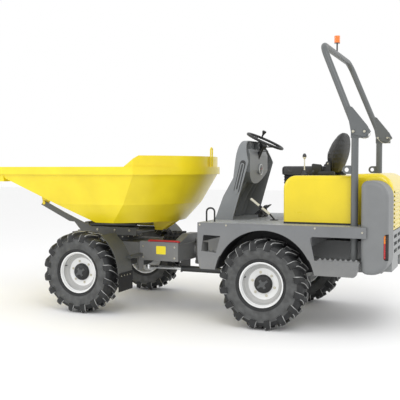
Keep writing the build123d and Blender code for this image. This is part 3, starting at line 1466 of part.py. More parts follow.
# Steering cylinder
steer_eye_bottom_z = steer_cylinder_z - steer_eye_height / 2
steer_tube_start = steer_eye_radius + moving_gap
with BuildPart() as steer_barrel:
    with BuildSketch(Plane.XY.offset(steer_eye_bottom_z)):
        with Locations((steer_base_x, steer_cylinder_y)):
            Circle(steer_eye_radius)
        with Locations((steer_base_x + steer_eye_radius, steer_cylinder_y)):
            Rectangle(2 * steer_eye_radius, 1.6 * steer_eye_radius)
        with Locations((steer_base_x, steer_cylinder_y)):
            Circle(steer_pin_radius + pin_clearance, mode=Mode.SUBTRACT)
    extrude(amount=steer_eye_height)
    with BuildSketch(Plane(origin=(steer_base_x + steer_tube_start, steer_cylinder_y, steer_cylinder_z),
                           z_dir=(1, 0, 0))):
        Circle(steer_barrel_radius)
    extrude(amount=steer_barrel_length)
    with BuildSketch(Plane(origin=(steer_base_x + steer_tube_start + 30, steer_cylinder_y, steer_cylinder_z),
                           z_dir=(1, 0, 0))):
        Circle(steer_rod_radius + pin_clearance)
    extrude(amount=steer_barrel_length, mode=Mode.SUBTRACT)
steer_barrel.part.label = "steer_barrel"
export_step(steer_barrel.part, "parts/steer_barrel.step")

steer_rod_start_x = steer_base_x + steer_tube_start + 32 + steer_stroke
with BuildPart() as steer_rod:
    with BuildSketch(Plane(origin=(steer_rod_start_x, steer_cylinder_y, steer_cylinder_z), z_dir=(1, 0, 0))):
        Circle(steer_rod_radius)
    extrude(amount=steer_eye_x - steer_rod_start_x)
    with BuildSketch(Plane.XY.offset(steer_eye_bottom_z)):
        with Locations((steer_eye_x, steer_cylinder_y)):
            Circle(steer_eye_radius)
    extrude(amount=steer_eye_height)
    with BuildSketch(Plane.XY.offset(steer_eye_bottom_z - 6)):
        with Locations((steer_eye_x, steer_cylinder_y)):
            Circle(steer_pin_radius)
    extrude(amount=steer_eye_height + 12)
steer_rod.part.label = "steer_rod"
export_step(steer_rod.part, "parts/steer_rod.step")
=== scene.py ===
from math import ceil, copysign, cos, exp, hypot, pi, radians, sin, tan

import bmesh
import bpy
from mathutils import Matrix, Vector


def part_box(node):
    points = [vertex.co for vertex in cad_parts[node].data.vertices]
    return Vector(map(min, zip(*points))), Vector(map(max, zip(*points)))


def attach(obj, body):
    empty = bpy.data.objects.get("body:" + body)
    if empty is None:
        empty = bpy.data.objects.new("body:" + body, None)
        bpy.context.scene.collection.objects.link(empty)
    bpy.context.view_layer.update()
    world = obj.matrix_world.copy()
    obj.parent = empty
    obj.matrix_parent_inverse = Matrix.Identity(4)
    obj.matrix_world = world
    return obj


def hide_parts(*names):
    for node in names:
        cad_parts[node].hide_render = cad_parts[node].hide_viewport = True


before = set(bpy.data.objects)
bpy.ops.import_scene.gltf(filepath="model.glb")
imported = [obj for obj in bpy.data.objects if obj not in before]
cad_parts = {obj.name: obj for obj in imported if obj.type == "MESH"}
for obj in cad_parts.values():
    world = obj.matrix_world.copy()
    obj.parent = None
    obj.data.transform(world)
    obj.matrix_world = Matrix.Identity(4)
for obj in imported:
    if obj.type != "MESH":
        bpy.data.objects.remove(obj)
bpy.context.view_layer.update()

# The camera stands level with the driver's waist on the machine's left, a little behind the rear
# axle, and looks forward across it through a short telephoto lens.
camera_yaw = 0.4032
camera_pitch = -0.0445
camera_focal_px = 691.9
picture_px = 400
sensor_mm = 36
camera_lens = bpy.data.cameras.new("camera")
camera_lens.sensor_width = sensor_mm
camera_lens.lens = camera_focal_px / picture_px * sensor_mm
camera = bpy.data.objects.new("camera", camera_lens)
camera_aim = Vector((
    sin(camera_yaw) * cos(camera_pitch),
    -cos(camera_yaw) * cos(camera_pitch),
    sin(camera_pitch),
))
camera.location = (-2.928, 6.934, 1.495)
camera.rotation_euler = camera_aim.to_track_quat("-Z", "Y").to_euler()
bpy.context.collection.objects.link(camera)
bpy.context.scene.camera = camera


# The studio is a pale painted floor that runs into a white room, lit by one large soft box over the
# camera's shoulder, one from the front of the machine and one low fill.
def linear(hex_colour):
    channels = [int(hex_colour[at:at + 2], 16) / 255 for at in (1, 3, 5)]
    values = [c / 12.92 if c <= 0.04045 else ((c + 0.055) / 1.055) ** 2.4 for c in channels]
    return (*values, 1.0)


def new_object(name, mesh, *finishes, smooth_deg=None):
    for finish in finishes:
        mesh.materials.append(finish)
    if smooth_deg:
        mesh.shade_smooth()
        mesh.set_sharp_from_angle(angle=radians(smooth_deg))
    made = bpy.data.objects.new(name, mesh)
    bpy.context.collection.objects.link(made)
    return made


floor_half = 40
floor_mesh = bpy.data.meshes.new("floor")
floor_mesh.from_pydata(
    [(-floor_half, -floor_half, 0), (floor_half, -floor_half, 0), (floor_half, floor_half, 0),
     (-floor_half, floor_half, 0)], [], [(0, 1, 2, 3)],
)
floor_paint = bpy.data.materials.new("matt floor paint")
floor_paint.use_nodes = True
floor_shader = floor_paint.node_tree.nodes["Principled BSDF"]
floor_shader.inputs["Base Color"].default_value = linear("#F6F6F6")
floor_shader.inputs["Roughness"].default_value = 0.95
new_object("floor", floor_mesh, floor_paint)

room = bpy.data.worlds.new("white room")
room.use_nodes = True
room.node_tree.nodes["Background"].inputs["Color"].default_value = linear("#FFFFFF")
room.node_tree.nodes["Background"].inputs["Strength"].default_value = 1.0
bpy.context.scene.world = room
bpy.context.scene.view_settings.view_transform = "Standard"

for lamp_name, lamp_place, lamp_target, lamp_size, lamp_watts in (
    ("soft box over the camera", (-4.5, 6.0, 7.0), (0, 0, 0.8), 4.0, 190),
    ("soft box at the front", (5.5, 6.0, 4.0), (0.5, 0, 0.8), 3.5, 130),
    ("rear fill", (-6.5, -2.0, 3.5), (-1.0, 0, 1.0), 3.0, 40),
):
    lamp_data = bpy.data.lights.new(lamp_name, "AREA")
    lamp_data.size = lamp_size
    lamp_data.energy = lamp_watts
    lamp = bpy.data.objects.new(lamp_name, lamp_data)
    lamp.location = lamp_place
    lamp.rotation_euler = (Vector(lamp_target) - Vector(lamp_place)).to_track_quat("-Z", "Y").to_euler()
    bpy.context.collection.objects.link(lamp)


# The chassis is welded from plate and painted grey: rails, outriggers, the articulation head, the
# pivot block, the front frame and its swivel console.
def feed(tree, socket, value):
    """Links the socket to a node's first output or to another socket, or else gives it the value."""
    source = value.outputs[0] if isinstance(value, bpy.types.Node) else value
    if isinstance(source, bpy.types.NodeSocket):
        tree.links.new(source, socket)
    else:
        socket.default_value = value


def add_node(tree, kind, sockets=None, **settings):
    made = tree.nodes.new(("ShaderNode" if tree.type == "SHADER" else "GeometryNode") + kind)
    for name, value in settings.items():
        setattr(made, name, value)
    for name, value in (sockets or {}).items():
        feed(tree, made.inputs[name], value)
    return made


def new_finish(name):
    finish = bpy.data.materials.new(name)
    finish.use_nodes = True
    tree = finish.node_tree
    return finish, tree, tree.nodes["Principled BSDF"], add_node(tree, "TexCoord").outputs["Object"]


def shades(hex_colour, dark, light):
    return [(*[min(1, c * share) for c in linear(hex_colour)[:3]], 1) for share in (dark, light)]


def surface(name, colour, cloud, rough, skin=None, scuff=None, span=(0.0, 1.0), scuff_span=(0.0, 1.0), dust=0.0,
            band=None, **constants):
    """Finish whose colour drifts between two shades with a cloud, over a fine skin in relief.

    A pattern is (kind, grain in mm, sockets, settings, stretch). A pair in rough drifts with the
    scuff, or else the cloud. skin is (pattern, strength, depth in metres). dust is how much lies on
    the lowest parts. band is (middle z, half height, colour). constants go on the shader's sockets.
    """
    finish, tree, shader, spot = new_finish(name)
    patterns = []
    for pattern in (cloud, scuff, skin and skin[0]):
        if not pattern:
            patterns.append(None)
            continue
        kind, grain_mm, sockets, settings, stretch = (*pattern, {}, {}, None)[:5]
        where = add_node(tree, "Mapping", {"Vector": spot, "Scale": stretch}) if stretch else spot
        drawn = add_node(tree, "Tex" + kind, {"Vector": where, "Scale": 1000 / grain_mm, **sockets},
                         **settings)
        patterns.append(drawn.outputs.get("Fac") or drawn.outputs["Distance"])
    clouds, scuffs, skins = patterns
    if clouds:
        ramp = add_node(tree, "ValToRGB", {"Fac": clouds})
        for stop, at, shade in zip(ramp.color_ramp.elements, span, colour):
            stop.position, stop.color = at, shade
        colour = ramp.outputs["Color"]
    if dust or band:
        height = add_node(tree, "SeparateXYZ", {"Vector": spot}).outputs["Z"]
    if dust:
        low = add_node(tree, "MapRange", {"Value": height, "From Min": 0.35, "From Max": 0.95,
                                                    "To Min": dust, "To Max": 0.0})
        grains = add_node(tree, "TexNoise", {"Vector": spot, "Scale": 1000 / 18, "Detail": 6.0})
        share = add_node(tree, "Math", {0: low, 1: grains}, operation="MULTIPLY")
        colour = add_node(tree, "Mix", {"Factor": share, 6: colour, 7: linear("#A59F92")},
                          data_type="RGBA").outputs[2]
    if band:
        inside = add_node(tree, "Math", {0: height, 1: band[0], 2: band[1]}, operation="COMPARE")
        colour = add_node(tree, "Mix", {"Factor": inside, 6: colour, 7: linear(band[2])},
                          data_type="RGBA").outputs[2]
    feed(tree, shader.inputs["Base Color"], colour)
    if isinstance(rough, tuple):
        rough = add_node(tree, "MapRange", {
            "Value": scuffs or clouds, "From Min": scuff_span[0], "From Max": scuff_span[1], "To Min": rough[0],
            "To Max": rough[1]})
    feed(tree, shader.inputs["Roughness"], rough)
    if skins:
        feed(tree, shader.inputs["Normal"], add_node(tree, "Bump", {
            "Height": skins, "Strength": skin[1], "Distance": skin[2]}))
    for socket, value in constants.items():
        shader.inputs[socket.replace("_", " ")].default_value = value
    return finish


# Sprayed enamel over plate is smooth, with a faint orange peel about 2 mm across, a gloss that drifts
# with the thickness of the coat, and pale dust on what is near the ground.
def sprayed_enamel(name, hex_colour, roughness, peel_mm=2.2, peel=0.12, coat=0.0, drift=0.05, dust=0.0):
    return surface(name, shades(hex_colour, 1 - 2 * drift, 1 + drift),
                   ("Noise", 260, {"Detail": 5.0, "Roughness": 0.6}), (roughness - 0.05, roughness + 0.07),
                   (("Noise", peel_mm), peel, 0.0008), span=(0.3, 0.7), dust=dust, Coat_Weight=coat,
                   Coat_Roughness=0.12)


def finish_nodes(finish, *names):
    for name in names:
        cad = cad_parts[name]
        cad.data.materials.clear()
        cad.data.materials.append(finish)


chassis_enamel = sprayed_enamel("grey chassis enamel", "#737577", 0.42, dust=0.35)
finish_nodes(chassis_enamel, "rear_frame", "outriggers", "articulation_head", "steer_bracket", "pivot_block",
             "front_frame", "side_panels", "side_steps")
finish_nodes(sprayed_enamel("dark grey chassis enamel", "#585A5B", 0.42, dust=0.2), "swivel_console")

# Screws hold the covers, rings and axles. Each is a hexagon head over a washer, set by Geometry Nodes
# on points that carry its turn. Zinc plate is bright, with a yellowish spangle about 6 mm across.
zinc = surface("zinc plated steel", (linear("#B7B4A6"), linear("#D5D1C0")), ("Voronoi", 6), (0.3, 0.45), Metallic=1.0)
hex_head_mesh = bpy.data.meshes.new("hexagon head")
head_form = bmesh.new()
for segments, low_radius, high_radius, depth, middle in ((20, 0.9, 0.9, 0.18, 0.09), (6, 0.62, 0.62, 0.5, 0.43),
                                                         (6, 0.62, 0.48, 0.08, 0.72)):
    bmesh.ops.create_cone(head_form, cap_ends=True, segments=segments, radius1=low_radius, radius2=high_radius,
                          depth=depth, matrix=Matrix.Translation((0, 0, middle)))
head_form.to_mesh(hex_head_mesh)
head_form.free()
hex_head = bpy.data.objects.new("hexagon head", hex_head_mesh)

copy_tree = bpy.data.node_groups.new("copies on points", "GeometryNodeTree")
for socket_name, way, socket_type in (("Points", "INPUT", "Geometry"), ("Shape", "INPUT", "Object"),
                                      ("Size", "INPUT", "Float"), ("Finish", "INPUT", "Material"),
                                      ("Copies", "OUTPUT", "Geometry")):
    copy_tree.interface.new_socket(socket_name, in_out=way, socket_type="NodeSocket" + socket_type)
copy_in = copy_tree.nodes.new("NodeGroupInput").outputs
copy_shape = add_node(copy_tree, "ObjectInfo", {"Object": copy_in["Shape"]})
copy_turn = add_node(copy_tree, "InputNamedAttribute", {"Name": "turn"}, data_type="FLOAT_VECTOR")
copy_set = add_node(copy_tree, "InstanceOnPoints", {
    "Points": copy_in["Points"], "Instance": copy_shape.outputs["Geometry"],
    "Rotation": copy_turn.outputs["Attribute"], "Scale": copy_in["Size"],
})
copy_real = add_node(copy_tree, "RealizeInstances", {"Geometry": copy_set})
copy_finish = add_node(copy_tree, "SetMaterial", {"Geometry": copy_real, "Material": copy_in["Finish"]})
feed(copy_tree, copy_tree.nodes.new("NodeGroupOutput").inputs["Copies"], copy_finish)


def grown(source, name, smooth_deg=None):
    """Plain mesh object from an object with live modifiers, which are then gone."""
    bpy.context.view_layer.update()
    depsgraph = bpy.context.evaluated_depsgraph_get()
    mesh = bpy.data.meshes.new_from_object(source.evaluated_get(depsgraph), depsgraph=depsgraph)
    made = new_object(name, mesh, smooth_deg=smooth_deg)
    bpy.data.objects.remove(source, do_unlink=True)
    return made


def fitted(piece, body, slot, *stood_for):
    """Puts a finished piece on its body, in place of the nodes that it stands for."""
    if stood_for:
        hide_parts(*stood_for)
    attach(piece, body)
    return piece


def copies(name, body, slot, shape, size, finish, places):
    """One shape at each (place, turn) pair; the turn is in Euler angles."""
    mesh = bpy.data.meshes.new(name)
    mesh.from_pydata([place for place, turn in places], [], [])
    turns = mesh.attributes.new("turn", "FLOAT_VECTOR", "POINT")
    for at, (place, turn) in enumerate(places):
        turns.data[at].vector = turn
    source = new_object(name + "_points", mesh)
    modifier = source.modifiers.new("copies", "NODES")
    modifier.node_group = copy_tree
    values = {"Shape": shape, "Size": size, "Finish": finish}
    for item in copy_tree.interface.items_tree:
        if item.name in values:
            modifier[item.identifier] = values[item.name]
    return fitted(grown(source, name), body, slot)


def screws(name, body, size_mm, places, slot="ring_steel"):
    """Screw heads at (place, facing) pairs; size_mm is the washer's radius."""
    up = Vector((0, 0, 1))
    copies(name, body, slot, hex_head, size_mm / 1000, zinc,
           [(place, up.rotation_difference(Vector(facing)).to_euler()) for place, facing in places])


def on_circle(middle, radius, angles):
    return [(middle[0] + radius * cos(angle), middle[1] + radius * sin(angle)) for angle in angles]


def both_sides(y, spots):
    """Screws that face outwards at y and -y, at each (x, z)."""
    return [((x, side * y, z), (0, side, 0)) for side in (1, -1) for x, z in spots]


screws("front_frame_screws", "front_frame", 11,
       both_sides(0.4005, [(x, z) for x in (0.15, 0.52) for z in (0.56, 0.675)]))
screws("console_screws", "console", 13, both_sides(0.341, [(0.72, 0.83), (0.9, 0.83), (1.12, 0.83)]))

# Both axles are one cast housing with a round differential and flanged ends, painted with the
# chassis. Sand casting leaves a coarse skin, 4 to 5 mm in grain, that the paint doesn't hide.
front_axle_x = 1.04
rear_axle_x = -0.95
wheel_z = 0.4225


def sand_casting(name, hex_colour, grain_mm=5.0):
    return surface(name, shades(hex_colour, 0.7, 1.2), ("Noise", 90, {"Detail": 4.0}), 0.62,
                   (("Noise", grain_mm, {"Detail": 6.0, "Roughness": 0.7}), 0.45, 0.002))


finish_nodes(sand_casting("painted cast iron", "#3C3E3F"), "front_axle", "rear_axle")
for axle_x, axle_body in ((front_axle_x, "front_frame"), (rear_axle_x, "rear_frame")):
    screws("differential_screws_" + axle_body, axle_body, 9, [
        ((x, 0.079, z), (0, 1, 0))
        for x, z in on_circle((axle_x, wheel_z), 0.128, [radians(turn * 36) for turn in range(10)])
    ], "frame_grey")


# The wheels. Each tyre is a diagonal ply casing with sixteen raked lugs a side that lap over the shoulders; each rim is
# a rolled and welded steel wheel, held by six nuts round a hub with a cast cross. Vulcanised rubber is matt black and
# blooms grey; the lugs' rounded edges are coloured pale as a painted highlight.
def tyre_rubber(name, hex_colour, pale=0.0):
    return surface(name, shades(hex_colour, 0.75, 1.25 + pale), ("Noise", 60, {"Detail": 5.0}), 0.62,
                   (("Noise", 4, {"Detail": 4.0}), 0.25, 0.001), span=(0.35, 0.7), Specular_IOR_Level=0.45)


casing_rubber = tyre_rubber("carbon black tyre rubber", "#262728")
sidewall_rubber = tyre_rubber("bloomed sidewall rubber", "#4B4C4C", 0.1)
# Pale rubber for the lugs' rounded edges, a painted highlight.
lug_highlight_rubber = tyre_rubber("pale rubber as painted edge highlight", "#9A9B9A", 0.3)
# Wheel enamel is silver and glossy on the rim, and dull, dusty and darker in the well, the darker tone being painted
# shade. It is black on the hub, where it lies thick over a casting, and the cross is coloured lighter as a painted
# highlight.
rim_enamel = sprayed_enamel("silver wheel enamel", "#E9EAEA", 0.36, peel_mm=3.0, peel=0.08, coat=0.2, dust=0.12)
well_shade_enamel = sprayed_enamel("dusty wheel enamel with painted well shade", "#B4B5B5", 0.5, peel_mm=3.0, peel=0.08, dust=0.3)
hub_enamel = sprayed_enamel("black hub enamel", "#1A1B1C", 0.45, peel_mm=4.0, peel=0.35)
# Lighter black for the hub's cross, a painted highlight on its relief.
cross_highlight_enamel = sprayed_enamel("hub enamel lightened as painted highlight", "#4C4E4F", 0.4, peel_mm=4.0, peel=0.35)

wheel_y = 0.75
tyre_half = 0.145
lug_count = 16
lug_rake = radians(30)
crown_radius = 0.4
casing_profile = (
    (0.216, 0.098), (0.221, 0.112), (0.232, 0.121), (0.240, 0.120), (0.246, 0.125), (0.275, 0.1345),
    (0.305, 0.1395), (0.335, 0.1385), (0.338, 0.1405), (0.344, 0.1405), (0.348, 0.136), (0.367, 0.1295),
    (0.381, 0.115), (0.3895, 0.092), (0.392, 0.06), (0.393, 0.0),
)
lug_path = ((-0.004, 0.386, 0.4225), (0.03, 0.386, 0.4225), (0.065, 0.385, 0.4222), (0.1, 0.378, 0.4195),
            (0.122, 0.366, 0.414), (0.1375, 0.352, 0.397), (0.1435, 0.335, 0.372), (0.1435, 0.322, 0.350))


def shaped(name, form, *finishes, smooth_deg=None):
    """Object from a bmesh, which is then gone."""
    mesh = bpy.data.meshes.new(name)
    form.to_mesh(mesh)
    form.free()
    return new_object(name, mesh, *finishes, smooth_deg=smooth_deg)


def skinned(name, rings, *finishes, smooth_deg=None, loop=True, wrap=False, bevel=0.0):
    """Closed skin over rings of points, capped at both ends or wrapped round to the first ring."""
    form = bmesh.new()
    lines = [[form.verts.new(place) for place in ring] for ring in rings]
    for here, after in zip(lines, lines[1:] + (lines[:1] if wrap else [])):
        for at in range(len(here) if loop else len(here) - 1):
            nxt = (at + 1) % len(here)
            form.faces.new((here[at], here[nxt], after[nxt], after[at]))
    if wrap:
        bmesh.ops.remove_doubles(form, verts=form.verts, dist=1e-6)
        bmesh.ops.dissolve_degenerate(form, edges=form.edges, dist=1e-6)
    else:
        form.faces.new(lines[0][::-1])
        form.faces.new(lines[-1])
    bmesh.ops.recalc_face_normals(form, faces=form.faces)
    if bevel:
        bmesh.ops.bevel(form, geom=list(form.edges), offset=bevel, segments=2, affect="EDGES", profile=0.5,
                        clamp_overlap=True)
    return shaped(name, form, *finishes, smooth_deg=smooth_deg)


def turned(name, profile, steps, place, *finishes, smooth_deg=35, loop=False):
    """Solid turned about its place's Y axis from (radius, along) points."""
    rings = []
    for turn in range(steps):
        angle = 2 * pi * turn / steps
        rings.append([place @ Vector((radius * cos(angle), along, radius * sin(angle)))
                      for radius, along in profile])
    return skinned(name, rings, *finishes, smooth_deg=smooth_deg, loop=loop, wrap=True)


def joined(name, sources, *finishes, smooth_deg=None):
    """One object from several, which are then gone; their faces keep their place in the finishes."""
    form = bmesh.new()
    for source in sources:
        form.from_mesh(source.data)
        bpy.data.objects.remove(source, do_unlink=True)
    return shaped(name, form, *finishes, smooth_deg=smooth_deg)


casing = turned("casing", [*casing_profile, *[(r, -a) for r, a in casing_profile[-2::-1]], (0.212, -0.1), (0.212, 0.1)],
                96, Matrix(), loop=True)
for face in casing.data.polygons:
    if 0.244 < hypot(face.center.x, face.center.z) < 0.349 and abs(face.center.y) > 0.12:
        face.material_index = 2
lug_bars = []
for turn in range(2 * lug_count):
    side = -1 if turn % 2 else 1
    stations = []
    for along, root, top in lug_path:
        middle = pi * turn / lug_count - side * along * tan(lug_rake) / crown_radius
        wide = (0.05 + 0.014 * max(0, along) / tyre_half) / crown_radius
        corners = []
        for share, radius, spread in ((-0.5, root, 1.25), (-0.5, top, 0.9), (0.5, top, 0.9), (0.5, root, 1.25)):
            angle = middle + share * wide * spread
            corners.append((radius * cos(angle), side * along, radius * sin(angle)))
        stations.append(corners)
    lug_bars.append(skinned("lug", stations))
lugs = joined("sharp lugs", lug_bars, casing_rubber, lug_highlight_rubber)
# The bevel's faces take the pale edge rubber: a painted highlight along the lugs' edges.
rounding = lugs.modifiers.new("highlight edges", "BEVEL")
rounding.width = 0.0048
rounding.segments = 2
rounding.limit_method = "ANGLE"
rounding.angle_limit = radians(40)
rounding.material = 1
tyre_moulding = joined("tyre moulding", [casing, grown(lugs, "lugs", 50)], casing_rubber, lug_highlight_rubber,
                       sidewall_rubber)

for wheel, wheel_x, side in (("front_left", front_axle_x, 1), ("front_right", front_axle_x, -1),
                             ("rear_left", rear_axle_x, 1), ("rear_right", rear_axle_x, -1)):
    body = wheel + "_wheel"
    middle = Matrix.Translation((wheel_x, side * wheel_y, wheel_z))
    outwards = middle @ Matrix.Diagonal((1, side, 1, 1))
    tyre = new_object(wheel + "_tyre_moulding", tyre_moulding.data.copy())
    tyre.data.transform(middle)
    fitted(tyre, body, "tyre_rubber", wheel + "_tyre")

    rim = turned(wheel + "_rim_shell", (
        (0.196, -0.103), (0.203, -0.114), (0.211, -0.1155), (0.2145, -0.1125), (0.2145, -0.109),
        (0.207, -0.107), (0.2045, -0.1), (0.2045, 0.1), (0.207, 0.107), (0.2145, 0.109), (0.2145, 0.1125),
        (0.211, 0.1155), (0.203, 0.114), (0.1985, 0.106), (0.197, 0.088), (0.1925, 0.084), (0.1925, 0.062),
        (0.1835, 0.058), (0.176, 0.060), (0.168, 0.052), (0.158, 0.036), (0.148, 0.0325), (0.1, 0.0325),
        (0.088, 0.0325), (0.088, 0.02), (0.148, 0.02), (0.16, 0.006), (0.196, 0.0),
    ), 96, outwards, rim_enamel, well_shade_enamel, loop=True)
    # Faces in the rim's deep well take the darker enamel: painted shade, with some dust.
    for face in rim.data.polygons:
        if (0.149 < hypot(face.center.x - wheel_x, face.center.z - wheel_z) < 0.1935
                and side * face.center.y - wheel_y > 0.03):
            face.material_index = 1
    fitted(rim, body, "rim_silver", wheel + "_rim")

    hub = turned(wheel + "_hub", (
        (0.0, 0.075), (0.034, 0.075), (0.05, 0.071), (0.066, 0.068), (0.08, 0.06), (0.087, 0.048),
        (0.089, 0.03), (0.0885, -0.06), (0.084, -0.075), (0.037, -0.075), (0.037, 0.02), (0.0, 0.02),
    ), 64, outwards, hub_enamel, cross_highlight_enamel)
    cross = bmesh.new()
    cross.from_mesh(hub.data)
    for length, width, proud in ((0.118, 0.02, 0.009), (0.05, 0.036, 0.011), (0.024, 0.09, 0.007)):
        bar = bmesh.ops.create_cube(cross, size=1.0)
        bmesh.ops.transform(cross, verts=bar["verts"], matrix=middle @ Matrix.Translation((0, side * 0.0725, 0))
                            @ Matrix.Rotation(0.6, 4, "Y") @ Matrix.Diagonal((length, proud, width, 1)))
        # The cross bars take the lighter enamel as a painted highlight.
        for face in {face for vert in bar["verts"] for face in vert.link_faces}:
            face.material_index = 1
    cross.to_mesh(hub.data)
    cross.free()
    fitted(hub, body, "black_paint")
    screws(wheel + "_nuts", body, 14, [
        ((x, side * (wheel_y + 0.0325), z), (0, side, 0))
        for x, z in on_circle((wheel_x, wheel_z), 0.112, [radians(turn * 60 + 15) for turn in range(6)])
    ], "rim_silver")
    stem = turned(wheel + "_valve_stem", (
        (0.0, 0.0), (0.006, 0.0), (0.0055, 0.012), (0.004, 0.014), (0.004, 0.03), (0.005, 0.031),
        (0.005, 0.042), (0.0, 0.043),
    ), 16, outwards @ Matrix.Translation((0.168, 0.052, 0.06)), casing_rubber)
    fitted(stem, body, "tyre_rubber")
bpy.data.objects.remove(tyre_moulding, do_unlink=True)


# The deck is tread plate, hot dip galvanised: raised bars 26 mm long, set at right angles to their
# neighbours on a 30 mm grid, rolled into the sheet. The zinc has a half dull spangle 22 mm across.
deck_zinc = surface("galvanised tread plate", shades("#A9ACAE", 0.8, 1.15), ("Voronoi", 22), (0.32, 0.57),
                    scuff=("Noise", 35, {"Detail": 6.0}), Metallic=0.55)
finish_nodes(deck_zinc, "deck_plate")
deck_top = 0.985
bar_pitch = 0.03
bar_turns = [2 * pi * at / 10 for at in range(10)]
tread_bar = skinned("tread bar", [
    [(0.013 * wide * cos(angle), 0.0036 * deep * sin(angle), height) for angle in bar_turns]
    for wide, deep, height in ((1, 1, 0), (0.75, 0.5, 0.0016))
])
bar_places = []
for low_x, high_x, low_y, high_y in ((-1.085, -0.66, -0.825, 0.825), (-0.66, -0.325, -0.825, -0.43),
                                     (-0.66, -0.325, 0.43, 0.825), (-1.735, -1.11, 0.665, 0.825),
                                     (-1.735, -1.11, -0.825, -0.665)):
    for column in range(ceil((high_x - low_x) / bar_pitch)):
        for row in range(ceil((high_y - low_y) / bar_pitch)):
            x, y = low_x + column * bar_pitch, low_y + row * bar_pitch
            by_loop = abs(abs(y) - 0.7) < 0.025 and -0.45 < x < -0.32
            by_brake = 0.26 < y < 0.34 and x < -0.84
            if not by_loop and not by_brake:
                way = 1 if (round(x / bar_pitch) + round(y / bar_pitch)) % 2 else -1
                bar_places.append(((x, y, deck_top), (0, 0, way * pi / 4)))
copies("deck_tread_bars", "rear_frame", "black_paint", tread_bar, 1.0, deck_zinc, bar_places)
bpy.data.objects.remove(tread_bar, do_unlink=True)


# The side panels are 10 mm plate flame cut round the wheels. Each step has a serrated grip strip
# along its outer and inner edge, cut from 4 mm plate and welded on.
def plate(name, outline, thickness, place, *finishes, bevel=0.0, smooth_deg=None):
    """Flat plate from a closed outline, with half its thickness to each side of its place."""
    return skinned(name, [[place(u, v, way * thickness / 2) for u, v in outline] for way in (-1, 1)], *finishes,
                   bevel=bevel, smooth_deg=smooth_deg)


def upright(y):
    return lambda u, v, w: (u, y + w, v)


tooth_pitch = 0.046
tooth_height = 0.016
strip_low, strip_high = 0.676, 0.684
teeth = []
for side in (1, -1):
    for rear_x, front_x in ((-0.545, -0.315), (-1.845, -1.475)):
        outline = [(rear_x, strip_low), (front_x, strip_low), (front_x, strip_high)]
        for step in range(int((front_x - rear_x) / tooth_pitch)):
            tip = front_x - (step + 0.5) * tooth_pitch
            outline += [(tip + share * tooth_pitch, strip_high + rise)
                        for share, rise in ((0.3, 0), (0.12, tooth_height), (-0.12, tooth_height), (-0.3, 0))]
        outline.append((rear_x, strip_high))
        teeth += [plate("strip", outline, 0.004, upright(side * strip_y)) for strip_y in (0.846, 0.64)]
fitted(joined("step_teeth", teeth, chassis_enamel), "rear_frame", "frame_grey")
screws("step_screws", "rear_frame", 10,
       both_sides(0.8505, [(-0.33, 0.965), (-0.6, 0.965), (-1.45, 0.965), (-1.87, 0.94)]))


# The mudguards and the seat's plinth are folded sheet with a rubber flap screwed to each guard.
# Powder coat is dull, with a fine even grain under 2 mm that scatters the light.
def powder_coat(name, hex_colour, roughness=0.5):
    return sprayed_enamel(name, hex_colour, roughness, peel_mm=1.6, peel=0.18, drift=0.04, dust=0.2)


finish_nodes(powder_coat("dark grey powder coat", "#474A4A"), "mudguards")
finish_nodes(powder_coat("blue black powder coat", "#25272C"), "seat_plinth")
finish_nodes(tyre_rubber("moulded sheet rubber", "#111112"), "mud_flaps")
flap_low, flap_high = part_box("mud_flaps")
screws("mudguard_screws", "front_frame", 8, [
    ((flap_low.x - 0.0005, side * (0.66 + 0.06 * step), flap_high.z - 0.03), (-1, 0, 0))
    for side in (1, -1) for step in range(4)
])

# The engine stands behind the seat box: a cast crankcase with a radiator at the back, which shows
# through the bonnet's louvres. Bare cast iron is near black and rough.
finish_nodes(sand_casting("bare cast iron", "#2E2E2E", 4.0), "engine_block", "valve_block")


# The corner pods are rotation moulded polyethylene, silver grey, with a pocket for the lamp. Their
# skin is pebbled, about 3 mm a pebble, and half matt. The bumper between them is an aluminium casting.
def pebbled_moulding(name, hex_colour, grain_mm=3.0, roughness=0.48):
    return surface(name, shades(hex_colour, 0.88, 1.1), ("Noise", 140, {"Detail": 4.0}), roughness,
                   (("Voronoi", grain_mm), 0.3, 0.0012))


pod_plastic = pebbled_moulding("silver grey polyethylene", "#77797A")
pocket_plastic = pebbled_moulding("dark grey polyethylene", "#3A3B3C")
pod_front, pod_rear, pod_foot, pod_crown = -1.85, -2.088, 0.567, 1.394
pod_inner, pod_outer = 0.5, 0.836
pod_edge = 0.045


def arc(middle_u, middle_v, radius, first_deg, last_deg, steps=10):
    return on_circle((middle_u, middle_v), radius,
                     [radians(first_deg + (last_deg - first_deg) * at / steps) for at in range(steps + 1)])


def pod_ring(inset):
    """Side outline of the pod, set in all round; its front edge is drawn in further, as a bevel."""
    ring = []
    for corner_x, corner_z, radius, first, inwards in (
        (pod_front, pod_crown, 0.06, 0, (-1, -1)), (pod_rear, pod_crown, 0.15, 90, (1, -1)),
        (pod_rear, pod_foot, 0.14, 180, (1, 1)), (pod_front, pod_foot, 0.06, 270, (-1, 1)),
    ):
        pulled = inset * 0.45 if inwards[0] < 0 else 0.0
        ring += arc(corner_x + inwards[0] * radius - pulled, corner_z + inwards[1] * radius, radius - inset, first,
                    first + 90, 8)
    return ring


def rounded(low_u, high_u, low_v, high_v, radius, steps=4):
    """Rectangle with round corners, from the corners' middles."""
    return (arc(high_u, high_v, radius, 0, 90, steps) + arc(low_u, high_v, radius, 90, 180, steps)
            + arc(low_u, low_v, radius, 180, 270, steps) + arc(high_u, low_v, radius, 270, 360, steps))


